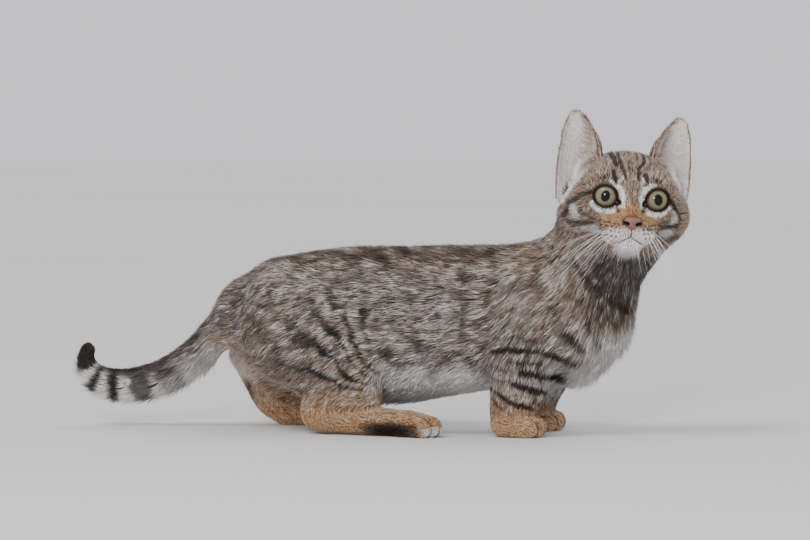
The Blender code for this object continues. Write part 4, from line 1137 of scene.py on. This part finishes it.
def sampleRoots():                 # how to read the skin at the tufts' roots, and their place on its unwrap
    data = skin.data
    data.calc_loop_triangles()
    count = len(data.loop_triangles)
    corners, loops = np.empty(count * 3, np.int32), np.empty(count * 3, np.int32)
    data.loop_triangles.foreach_get("vertices", corners)
    data.loop_triangles.foreach_get("loops", loops)
    corners, loops = corners.reshape(-1, 3), loops.reshape(-1, 3)
    uv = np.empty(len(data.loops) * 2, np.float32)
    data.uv_layers["OFBake"].data.foreach_get("uv", uv)
    uv = uv.reshape(-1, 2)
    a, b, c = (skinPoints[corners[:, k]] for k in range(3))
    area = np.linalg.norm(np.cross(b - a, c - a), axis=1) / 2
    number = np.floor(area * tuftDensity()[corners].mean(1) + rng.random(count)).astype(int)
    triangle = np.repeat(np.arange(count), number)
    r1, r2 = np.sqrt(rng.random(len(triangle))), rng.random(len(triangle))
    w = np.stack([1 - r1, r1 * (1 - r2), r1 * r2], 1)
    ids = corners[triangle]

    def atRoots(values):
        return (values[ids] * w.reshape(len(w), 3, *[1] * (values.ndim - 1))).sum(1)
    return atRoots, (uv[loops[triangle]] * w[:, :, None]).sum(1)


atRoots, rootUv = sampleRoots()
root, normal = atRoots(skinPoints), unit(atRoots(skinNormals))
shares = atRoots(skinShares)
ear = {name: atRoots(values) for name, values in skinEar.items()}
onEar, offEar = ear["ear"], 1 - ear["ear"]
legShare, headShare = shares[:, 3:7].sum(1), shares[:, 7]
x, _, z = root.T
inFace = inHead(root)
fromNose = np.linalg.norm(inFace - noseTip, axis=1)
print("tufts", len(root))

# length, width and lie
lie = hairLie(root, normal, shares)
length, width = byRegion(shares, coat["length"]), byRegion(shares, coat["width"])
depth = coatDepth(root, shares)
length = blended(length, np.interp(z, [0, 8, 20, 45], [2.4, 3.2, 6, 9]), legShare)
width = blended(width, np.interp(z, [0, 8, 20, 45], [0.34, 0.38, 0.48, 0.58]), legShare)
faceLength = np.interp(fromNose, [3, 8, 16, 28, 45, 60], [0.9, 1.8, 2.8, 4.4, 6.5, 9])
faceLength = np.minimum(faceLength, 1.2 + 0.38 * np.maximum(eyeReach(root), 0))
length = blended(length, faceLength, headShare)
width = blended(width, np.interp(fromNose, [3, 12, 30, 50], [0.25, 0.33, 0.4, 0.5]), headShare)
fringe = shares[:, 0] * smoothStep(38, 24, z) + shares[:, 0] * smoothStep(98, 110, x) * smoothStep(90, 70, z)
tailUnder = shares[:, 2] * smoothStep(0.2, -0.8, normal[:, 2])
nearEar = np.min([ears[side][0].distance(root) for side in (-1, 1)], axis=0)
length = length * (1 - 0.55 * headShare * smoothStep(3.5, 1.5, nearEar) * offEar)
chinTuft = headShare * smoothStep(-21, -24, inFace[:, 2]) * smoothStep(13, 8, np.abs(inFace[:, 1]))
chinTuft = chinTuft * smoothStep(8, 16, inFace[:, 0])
length = length + 3.2 * chinTuft
length = length * (1 + 0.75 * np.clip(fringe, 0, 1) + 0.35 * tailUnder) * rng.uniform(0.72, 1.18, len(root))
width = width * rng.uniform(0.75, 1.2, len(root))

# on the ears: short and upright on the back, long and pale across the inside
forward, leftward, _ = headAxes
earUp = unit(headFrame[:3, :3] @ np.array((-0.12, 0, 1.0)))
outward = np.where(inFace[:, 1:2] > 0, 1.0, -1.0) * leftward
isInside = ear["inside"] > 0.5
earHeight = smoothStep(14, 44, inFace[:, 2])
medial = smoothStep(28, 20, np.abs(inFace[:, 1] - earSizes["shift"])) * ear["inside"] * (1 - 0.6 * earHeight)
combed = unit(outward + earUp * (0.35 + 0.5 * earHeight[:, None]))
combed = np.where(isInside[:, None], combed, np.tile(earUp, (len(root), 1)))
flatLie = unit(combed - normal * (combed * normal).sum(1, keepdims=True))
freeLie = unit(outward * 0.75 + earUp * 0.55 + forward * 0.35)
lie = unit(blended(lie, unit(blended(flatLie, freeLie, medial[:, None])), onEar[:, None]))
earLength = tuftSizes["onEar"] + np.where(isInside, 5.5 * medial, 0)
length = length * offEar + onEar * earLength * rng.uniform(0.7, 1.15, len(root))
width = blended(width, np.where(isInside, 0.22, 0.28), onEar)
depth = blended(depth, earSizes["coatDepth"], onEar)
tailEnd = shares[:, 2] * smoothStep(8.0, 8.8, tail.nearest(root) / pathSteps)
length = length * (1 - 0.6 * tailEnd)


def locks(points, lies, share, stretch):         # the tuft at the middle of each tuft's lock
    centres = rng.choice(len(points), int(len(points) * share), replace=False)
    tree = KDTree(len(centres))
    for n, c in enumerate(centres):
        tree.insert(points[c], n)
    tree.balance()
    near = np.array([[found[1] for found in tree.find_n(p, 7)] for p in points])
    gap = points[centres[near]] - points[:, None]
    along = (gap * lies[:, None]).sum(2)
    reach = (gap ** 2).sum(2) - (1 - stretch ** 2) * along ** 2
    return centres[near[np.arange(len(points)), reach.argmin(1)]]


def lifted(point, level):          # moved out along the root's normal until it is on a level of the coat
    step = np.clip(level - field(point, wholeForms), -4, 5)
    return point + normal * step[:, None] * offEar[:, None]


# locks: tufts lean towards the middle of their lock and share its tone
lock = locks(root, lie, tuftSizes["lockShare"], tuftSizes["lockStretch"])
lockTone = rng.beta(0.8, 0.8, len(root))[lock]
gather = np.clip(((root[lock] - root) * np.cross(normal, lie)).sum(1), -1.8, 1.8)
gather = gather * offEar * (1 - 0.5 * headShare)
single = 0.5 * headShare + 0.6 * legShare * smoothStep(26, 12, z)          # tuft by tuft on the face and feet
lockTone = blended(lockTone, rng.uniform(0.2, 0.8, len(root)), single)
swirl = rng.normal(0, 0.13, len(root)) + 0.16 * ripple(root, 8, 41) + 0.12 * ripple(root, 20, 42)
lie = unit(lie + np.cross(normal, lie) * swirl[:, None])
across = np.cross(normal, lie)

# each tuft is two tapering lengths with three sides
stray = rng.random(len(root)) < tuftSizes["strayShare"]
loose = np.clip(fringe + 0.8 * tailUnder + 0.8 * chinTuft, 0, 1)
tipLevel = depth * rng.uniform(-0.5, 0.12, len(root)) + stray * depth * 0.4
tipLevel = tipLevel + loose * rng.uniform(-1, 6, len(root))
middleLevel = -depth * rng.uniform(0.45, 0.75, len(root)) * (1 - 0.6 * loose)
earRise = onEar * np.where(isInside, 0.55, 0.3)
middle = lifted(root + lie * length[:, None] * 0.5, middleLevel)
middle += normal * (earRise * 0.6)[:, None]
middle += across * (gather * 0.2)[:, None]
tip = lifted(root + lie * length[:, None] * 0.94, tipLevel)
tip += normal * earRise[:, None]
tip += across * (gather * 0.6)[:, None]
half, thick = across * width[:, None] / 2, normal * width[:, None] * 0.35
base = root - normal * tuftSizes["sunk"]
corners = np.stack([base - half * 0.8, base + half * 0.8, base + thick * 0.8,
                    middle - half, middle + half, middle + thick, tip], 1)
corners[:, :, 2] = np.maximum(corners[:, :, 2], 0.12)

# markings, read ahead of the root for the tuft and again for its tip
reach = lie * length[:, None]
nearMarks, tipMarks = (markings(root + reach * share, shares, normal) for share in (0.6, 0.85))
tuftMarks = {}
for name, values in nearMarks.items():
    values = np.stack([values] * 6 + [tipMarks[name]], 1)
    tuftMarks[name] = values * offEar[:, None] + (onEar * earTone(name, ear["rim"]))[:, None]
inside = np.where(isInside, 1 - ear["rim"] * smoothStep(1.0, 0.7, lockTone), 0)
tuftMarks["inside"] = np.tile(inside, (7, 1)).T
clump = 0.5 + 0.30 * ripple(root, 3.4, 43) + 0.16 * ripple(root, 9, 44)
fleck = np.clip(0.36 * rng.beta(1.2, 1.2, len(root)) + 0.46 * lockTone + 0.18 * clump, 0, 1)
tuftMarks["fleck"] = np.tile(fleck, (7, 1)).T
tuftMarks["along"] = np.tile(tuftAlong, (len(root), 1))
print("coat shaped")


def coatPiece(name, chosen, finish):
    faces = (tuftFaces[None] + 7 * np.arange(len(chosen))[:, None, None]).reshape(-1, 3)
    piece = meshFrom(name, corners[chosen].reshape(-1, 3), faces)
    for mark, values in tuftMarks.items():
        addAttribute(piece, mark, values[chosen].ravel())
    layer = piece.data.uv_layers.new(name="OFBake")
    spot = np.clip(rootUv[chosen], 0, 1 - tuftSizes["patch"])[:, None, :] + tuftPatch[None] * tuftSizes["patch"]
    layer.data.foreach_set("uv", spot.reshape(-1, 2)[faces.ravel()].astype(np.float32).ravel())
    piece.data.materials.append(finish)
    dress(piece, "coat")
    print(name, len(faces), "triangles")


coatFinish = coatMaterial()
finished(skin, skinMaterial())
owner = shares.argmax(1)
owner[onEar > 0.5] = 7
for label, owners in (("Torso", (0,)), ("Neck", (1,)), ("Tail", (2,)), ("Forelegs", (3, 4)),
                      ("Hindlegs", (5, 6)), ("Head", (7,))):
    mine = np.flatnonzero(np.isin(owner, owners))
    mine = mine[np.argsort(root[mine, 0] + 0.001 * mine, kind="stable")]
    for n, chosen in enumerate(np.array_split(mine, max(1, math.ceil(len(mine) / tuftSizes["inOnePiece"])))):
        coatPiece(f"coat{label}{n + 1}", chosen, coatFinish)
dress(skin, "coat", *[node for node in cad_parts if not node.startswith("eye") and node != "nose"])


# Eyes

eyeColours = {"rim": (34, 25, 20), "outer": (96, 82, 62), "middle": (132, 121, 94), "inner": (112, 112, 92),
              "pupil": (1, 1, 2), "white": (150, 132, 124), "lid": (13, 9, 8), "corner": (60, 38, 36)}


def eyeMaterial():
    shading = Shading("wetEye", 0.5, specular=0.05)
    shading.shader.inputs["Coat Weight"].default_value = 0.7
    shading.shader.inputs["Coat Roughness"].default_value = 0.02
    shading.shader.inputs["Coat IOR"].default_value = 1.38
    fibres = shading.math("SUBTRACT", shading.noise(1500, 3), 0.5)
    c = eyeColours
    ring = shading.math("ADD", shading.attribute("ring"), shading.math("MULTIPLY", fibres, 0.12))
    iris = shading.ramp(ring, [(0.0, c["inner"]), (0.2, c["inner"]), (0.45, c["middle"]), (0.78, c["outer"]),
                               (0.94, c["rim"])])
    streaks = shading.mix(shading.math("MULTIPLY", shading.attribute("streak"), 0.4), iris, linear(c["rim"]))
    white = shading.mix(shading.attribute("white"), streaks, linear(c["white"]))
    shading.colour(shading.mix(shading.attribute("pupil"), white, linear(c["pupil"])))
    return shading.material


def makeEye(side, finish):
    rings, spokes = 56, 96
    angle = np.concatenate([np.linspace(0, 0.95, 40), np.linspace(1.0, math.pi, rings - 40)])[1:-1]
    turn = np.arange(spokes) * 2 * math.pi / spokes
    a, t = np.meshgrid(angle, turn, indexing="ij")
    ahead = eyeSizes["radius"] + eyeSizes["bulge"] - eyeSizes["cornea"]        # the cornea's own centre
    radius = ahead * np.cos(a) + np.sqrt(eyeSizes["cornea"] ** 2 - (ahead * np.sin(a)) ** 2)
    radius = np.maximum(eyeSizes["radius"], np.where(a < 1.4, radius, 0))
    local = np.stack([radius * np.cos(a), radius * np.sin(a) * np.cos(t), radius * np.sin(a) * np.sin(t)], -1)
    poles = [[eyeSizes["radius"] + eyeSizes["bulge"], 0, 0], [-eyeSizes["radius"], 0, 0]]
    local = np.vstack([local.reshape(-1, 3), poles])
    faces = []
    rows = len(angle)
    for i in range(rows - 1):
        for j in range(spokes):
            k = (j + 1) % spokes
            p, q, r, s = i * spokes + j, (i + 1) * spokes + j, (i + 1) * spokes + k, i * spokes + k
            faces += [(p, q, r), (p, r, s)]
    for j in range(spokes):
        k = (j + 1) % spokes
        last = (rows - 1) * spokes
        faces += [(rows * spokes, j, k), (rows * spokes + 1, last + k, last + j)]
    label = "eyeball" + ("Left" if side > 0 else "Right")
    eye = meshFrom(label, moved(local, np.array(eyePlace(side))), np.array(faces))
    flat = np.hypot(local[:, 1], local[:, 2])
    pupil = np.hypot(local[:, 1] / eyeSizes["pupilWide"], local[:, 2] / eyeSizes["pupilTall"])
    inner, outer = eyeSizes["irisInner"], eyeSizes["irisRadius"]
    ring = np.clip((flat - inner) / (outer - inner), 0, 1)
    theta = np.arctan2(local[:, 2], local[:, 1])
    draw = np.random.default_rng(5)
    streak = sum(np.sin(theta * k + draw.uniform(0, 6.28)) for k in (17, 29, 43, 61)) / 4
    behind = local[:, 0] < 0
    addAttribute(eye, "ring", np.where(behind, 1, ring))
    addAttribute(eye, "pupil", smoothStep(1.06, 0.94, pupil) * ~behind)
    addAttribute(eye, "streak", np.clip(streak, 0, 1))
    addAttribute(eye, "white", smoothStep(outer + 0.2, outer + 0.7, flat) + behind)
    eye.data.materials.append(finish)
    dress(eye, "eyes", "eye_left" if side > 0 else "eye_right")


eyeFinish = eyeMaterial()
for side in (-1, 1):
    makeEye(side, eyeFinish)
print("eyes")


# Tubes along paths: lid rims, lips, whiskers

def tubeTree():
    tree = bpy.data.node_groups.new("taperedTube", "GeometryNodeTree")
    sockets = {}
    for name, kind in (("Geometry", "Geometry"), ("Sides", "Int"), ("Taper", "Float"),
                       ("Finish", "Material")):
        made = tree.interface.new_socket(name, in_out="INPUT", socket_type="NodeSocket" + kind)
        sockets[name.lower()] = made.identifier
    tree.interface.new_socket("Geometry", in_out="OUTPUT", socket_type="NodeSocketGeometry")

    def node(kind, **settings):
        made = tree.nodes.new(kind)
        for key, value in settings.items():
            setattr(made, key, value)
        return made
    start, end = node("NodeGroupInput"), node("NodeGroupOutput")
    curves = node("GeometryNodeMeshToCurve")
    thick = node("GeometryNodeInputNamedAttribute", data_type="FLOAT")
    thick.inputs["Name"].default_value = "thick"
    factor = node("GeometryNodeSplineParameter")
    shrink = node("ShaderNodeMath", operation="MULTIPLY")
    remain = node("ShaderNodeMath", operation="SUBTRACT")
    remain.inputs[0].default_value = 1.0
    radius = node("ShaderNodeMath", operation="MULTIPLY")
    profile = node("GeometryNodeCurvePrimitiveCircle")
    profile.inputs["Radius"].default_value = 1.0
    sweep = node("GeometryNodeCurveToMesh")
    real = node("GeometryNodeRealizeInstances")
    paint = node("GeometryNodeSetMaterial")
    wires = [(start.outputs["Geometry"], curves.inputs["Mesh"]), (factor.outputs["Factor"], shrink.inputs[0]),
             (start.outputs["Taper"], shrink.inputs[1]), (shrink.outputs[0], remain.inputs[1]),
             (remain.outputs[0], radius.inputs[0]), (thick.outputs[0], radius.inputs[1]),
             (start.outputs["Sides"], profile.inputs["Resolution"]), (curves.outputs[0], sweep.inputs["Curve"]),
             (profile.outputs[0], sweep.inputs["Profile Curve"]), (radius.outputs[0], sweep.inputs["Scale"]),
             (sweep.outputs[0], real.inputs[0]), (real.outputs[0], paint.inputs["Geometry"]),
             (start.outputs["Finish"], paint.inputs["Material"]), (paint.outputs[0], end.inputs[0])]
    for a, b in wires:
        tree.links.new(a, b)
    sweep.inputs["Fill Caps"].default_value = True
    return tree, sockets


tubes, tubeSockets = tubeTree()


def tubePiece(name, paths, thickness, sides, taper, finish, loop=False):
    points, edges, radii = [], [], []
    for path, size in zip(paths, thickness):
        first = len(points)
        points += [tuple(np.asarray(p) * mm + np.array(shift)) for p in path]
        edges += [(first + i, first + i + 1) for i in range(len(path) - 1)]
        if loop:
            edges.append((first + len(path) - 1, first))
        radii += list(np.broadcast_to(size, len(path)))
    data = bpy.data.meshes.new(name)
    data.from_pydata(points, edges, [])
    made = newObject(name, data)
    addAttribute(made, "thick", np.array(radii) * mm)
    modifier = made.modifiers.new("tube", "NODES")
    modifier.node_group = tubes
    modifier[tubeSockets["sides"]] = sides
    modifier[tubeSockets["taper"]] = taper
    modifier[tubeSockets["finish"]] = finish
    applied(made)
    made.data.name = name
    made.data.shade_smooth()
    return made


def plainMaterial(name, colour, roughness, specular, second=None, scale=900, bump=0.2):
    shading = Shading(name, roughness, specular=specular)
    value = shading.noise(scale, 3)
    second = second or tuple(min(255, v * 1.25) for v in colour)
    shading.colour(shading.ramp(value, [(0.3, colour), (0.75, second)]))
    shading.bump(value, bump, 0.0004)
    return shading.material


def lidPath(side, count=72):       # the margin of the lids, drawn down to the inner corner
    turn = np.arange(count) * 2 * math.pi / count
    wide, tall = eyeSizes["openWide"] - 0.1, eyeSizes["openTall"] - 0.1
    yy, zz = wide * np.cos(turn), tall * np.sin(turn)
    inner = smoothStep(0.45, 1.0, -side * yy / wide)
    yy, zz = yy - side * inner * 1.7, zz * (1 - 0.45 * inner) - inner * 1.2
    place = np.array(eyePlace(side))
    xx = np.full(count, 14.0)
    for _ in range(40):
        xx -= (field(moved(np.stack([xx, yy, zz], 1), place), skull) + 0.5) * 0.8
    size = 0.34 + 0.2 * smoothStep(-0.2, 0.8, zz / tall)
    return moved(np.stack([xx, yy, zz], 1), place), size


rimFinish = plainMaterial("lidMargin", eyeColours["lid"], 0.5, 0.2)
cornerFinish = plainMaterial("tearCorner", eyeColours["corner"], 0.2, 0.5)
for side in (-1, 1):
    path, size = lidPath(side)
    label = "Left" if side > 0 else "Right"
    dress(tubePiece("lidRim" + label, [path], [size], 8, 0.0, rimFinish, True), "nose_leather")
    flesh = Ball((4.7, -side * 6.9, -1.4), (2.0, 1.9, 1.1), 1, eyePlace(side))
    corner = surface("tearCorner" + label, [flesh], (), 0.3)
    dress(finished(corner, cornerFinish), "eyes")


def ontoFace(lefts, ups, level):   # points on the front of the face, on a level of it
    local = np.stack([np.full(len(lefts), 48.0), lefts, ups], 1)
    back = np.zeros(len(local))
    for _ in range(40):
        at = local - np.outer(back, (1, 0, 0))
        back += (field(fromHead(at), skull) - level) * 0.8
    return fromHead(local - np.outer(back, (1, 0, 0)))


mouthLine = ((0, -12.4), (0, -17.4), (2.5, -18.9), (5.2, -20.6), (8.2, -21.8))
# the dark lip tube is partly the lips' own dark colour and partly painted shade of the mouth's crease
lipFinish = plainMaterial("lip", (50, 36, 36), 0.5, 0.2)
lipPaths, lipSizes = [], []
for side in (-1, 1):
    line = np.array(mouthLine if side < 0 else mouthLine[1:], float)
    along = np.linspace(0, len(line) - 1, 8 * len(line))
    lefts = side * np.interp(along, range(len(line)), line[:, 0])
    lipPaths.append(ontoFace(lefts, np.interp(along, range(len(line)), line[:, 1]), -0.45))
    lipSizes.append(np.interp(along, [0, len(line) - 2.2, len(line) - 1], [0.4, 0.34, 0.1]))
dress(tubePiece("lips", lipPaths, lipSizes, 7, 0.0, lipFinish), "nose_leather")


# Nose

def noseForms():
    place = headPlace()
    forms = [Ball((36.6, 0, -8.9), (3.4, 4.9, 2.2), 1.5, place),
             Ball((36.6, 0, -11), (3.2, 2.6, 2.9), 1.5, place)]
    return forms + [Ball((36.2, side * 3.3, -9.9), (3.2, 2.1, 1.9), 1.2, place) for side in (-1, 1)]


def makeNose():
    nostrils = []
    for side in (-1, 1):
        place = headPlace() @ Matrix.Translation((38.6, side * 3.2, -10.4))
        turned = place @ Matrix.Rotation(side * 0.35, 4, "X")
        nostrils.append(Ball((0, 0, 0), (2.4, 1.55, 0.75), 0.5, turned))
    nose = surface("noseLeather", noseForms(), nostrils, 0.24)
    points, _ = vertexArrays(nose)
    h = inHead(points)
    hollow = np.min([form.distance(points) for form in nostrils], axis=0)
    edge = np.maximum(smoothStep(33.6, 32.6, h[:, 0] - 2.2), smoothStep(3.6, 4.9, np.abs(h[:, 1])))
    # painted shade: nearly black in the nostril hollows, for the shade deep inside the nostrils
    addAttribute(nose, "nostrilShade", smoothStep(0.5, 0.0, hollow))
    addAttribute(nose, "edge", np.clip(edge, 0, 1))
    shading = Shading("noseLeather", 0.42, specular=0.45)
    grain = shading.noise(2600, 2)
    skinTone = shading.ramp(grain, [(0.3, (104, 70, 62)), (0.7, (134, 96, 86))])
    rimmed = shading.mix(shading.attribute("edge"), skinTone, linear((48, 30, 27)))
    # painted shade in the nostrils
    shading.colour(shading.mix(shading.attribute("nostrilShade"), rimmed, linear((22, 14, 13))))
    shading.bump(grain, 0.5, 0.0005)
    dress(finished(nose, shading.material), "nose_leather", "nose")


makeNose()
print("nose and lids")


# Whiskers and brow hairs

whiskerSizes = {
    "rows": ((-13.4, 8.5, 2), (-15.0, 7.6, 3), (-16.8, 8.2, 4), (-18.0, 9.4, 2)),     # up, left and how many
    "step": 2.4, "longest": 56.0, "radius": 0.1, "points": 14,
}


def whiskerPaths():
    paths, sizes = [], []
    draw = np.random.default_rng(23)
    forward, left, up = headAxes
    t = np.linspace(0, 1, whiskerSizes["points"])[:, None]
    for side in (-1, 1):
        for row, (v, l, count) in enumerate(whiskerSizes["rows"]):
            for k in range(count):
                start = ontoFace([side * (l + whiskerSizes["step"] * k)], [v + 0.2 * k], -0.8)
                reach = whiskerSizes["longest"] * (0.62 + 0.36 * k / 3) * draw.uniform(0.7, 1.05)
                droop = (0.25 if side < 0 else 0.75) + 0.22 * row + draw.uniform(-0.12, 0.12)
                aim = unit(side * left * (1.0 - 0.08 * row) + forward * (0.12 - 0.08 * k) - up * droop)
                bend = -up * reach * draw.uniform(0.12, 0.34) - forward * reach * 0.08
                paths.append(start + aim * t * reach + bend * t ** 2)
                sizes.append(whiskerSizes["radius"] * draw.uniform(0.75, 1.1))
        for k in range(3):                   # over the eye
            start = ontoFace([side * (11.5 + 2.2 * k)], [13.5 - 0.6 * k], -0.5)
            reach = draw.uniform(9, 15)
            aim = unit(up * 1.0 + side * left * (0.35 + 0.3 * k) + forward * 0.25)
            paths.append(start + aim * t * reach - forward * t ** 2 * reach * 0.25)
            sizes.append(0.06)
        for k in range(3):                   # under the chin and on the cheek
            start = ontoFace([side * (3.5 + 3.5 * k)], [-22.0 + 0.5 * k], -0.5)
            reach = draw.uniform(10, 17)
            paths.append(start + unit(-up + side * left * 0.25 + forward * 0.2) * t * reach)
            sizes.append(0.09)
    return paths, sizes


whiskerFinish = plainMaterial("whiskerHair", (226, 224, 220), 0.35, 0.5, (248, 247, 245), 400, 0.05)
paths, sizes = whiskerPaths()
dress(tubePiece("whiskers", paths, sizes, 5, 0.85, whiskerFinish), "coat")
print("whiskers", len(paths))


# Floor, light and camera

def makeStage():
    bpy.ops.mesh.primitive_plane_add(size=60)
    floor = bpy.context.object
    floor.name = "floor"
    shading = Shading("paleFloor", 0.9, specular=0.1)
    shading.colour(shading.ramp(shading.noise(0.6, 2), [(0.3, (202, 201, 200)), (0.7, (206, 205, 204))]))
    floor.data.materials.append(shading.material)
    world = bpy.data.worlds.new("studio")
    bpy.context.scene.world = world
    world.use_nodes = True
    world.node_tree.nodes["Background"].inputs["Color"].default_value = (0.95, 0.96, 1.0, 1)
    world.node_tree.nodes["Background"].inputs["Strength"].default_value = 0.92


def softLight(name, place, size, energy, colour=(1, 1, 1)):
    data = bpy.data.lights.new(name, "AREA")
    data.shape, data.size, data.energy, data.color = "DISK", size, energy, colour
    made = newObject(name, data)
    made.location = Vector(place) + shift
    made.rotation_mode = "QUATERNION"
    made.rotation_quaternion = (Vector((0, 0, 0.08)) + shift - made.location).to_track_quat("-Z", "Y")


def sunLight(name, direction, spread, strength, colour):
    data = bpy.data.lights.new(name, "SUN")
    data.angle, data.energy, data.color = math.radians(spread), strength, colour
    made = newObject(name, data)
    made.rotation_mode = "QUATERNION"
    made.rotation_quaternion = Vector(direction).to_track_quat("Z", "Y")


view = {"azimuth": 15.0, "elevation": 2.0, "distance": 2.0, "target": (0, 0, 0.0887),
        "pixelsWide": 810, "metresPerPixel": 0.00055, "sensor": 36}


def makeCamera():
    a, e = math.radians(view["azimuth"]), math.radians(view["elevation"])
    back = Vector((math.sin(a) * math.cos(e), -math.cos(a) * math.cos(e), math.sin(e)))
    data = bpy.data.cameras.new("camera")
    data.sensor_width = view["sensor"]
    data.lens = view["sensor"] * view["distance"] / (view["pixelsWide"] * view["metresPerPixel"])
    data.clip_end = 200
    made = newObject("camera", data)
    made.location = Vector(view["target"]) + shift + back * view["distance"]
    made.rotation_mode = "QUATERNION"
    made.rotation_quaternion = (-back).to_track_quat("-Z", "Y")
    bpy.context.scene.camera = made


makeStage()
sunLight("high", (-0.5, -0.9, 1.5), 22, 1.4, (1, 0.97, 0.93))
sunLight("behind", (0.6, 1.2, 1.4), 40, 0.7, (0.95, 0.97, 1))
softLight("catch", (0.25, -1.75, 0.62), 0.4, 18)
makeCamera()
print("stage")
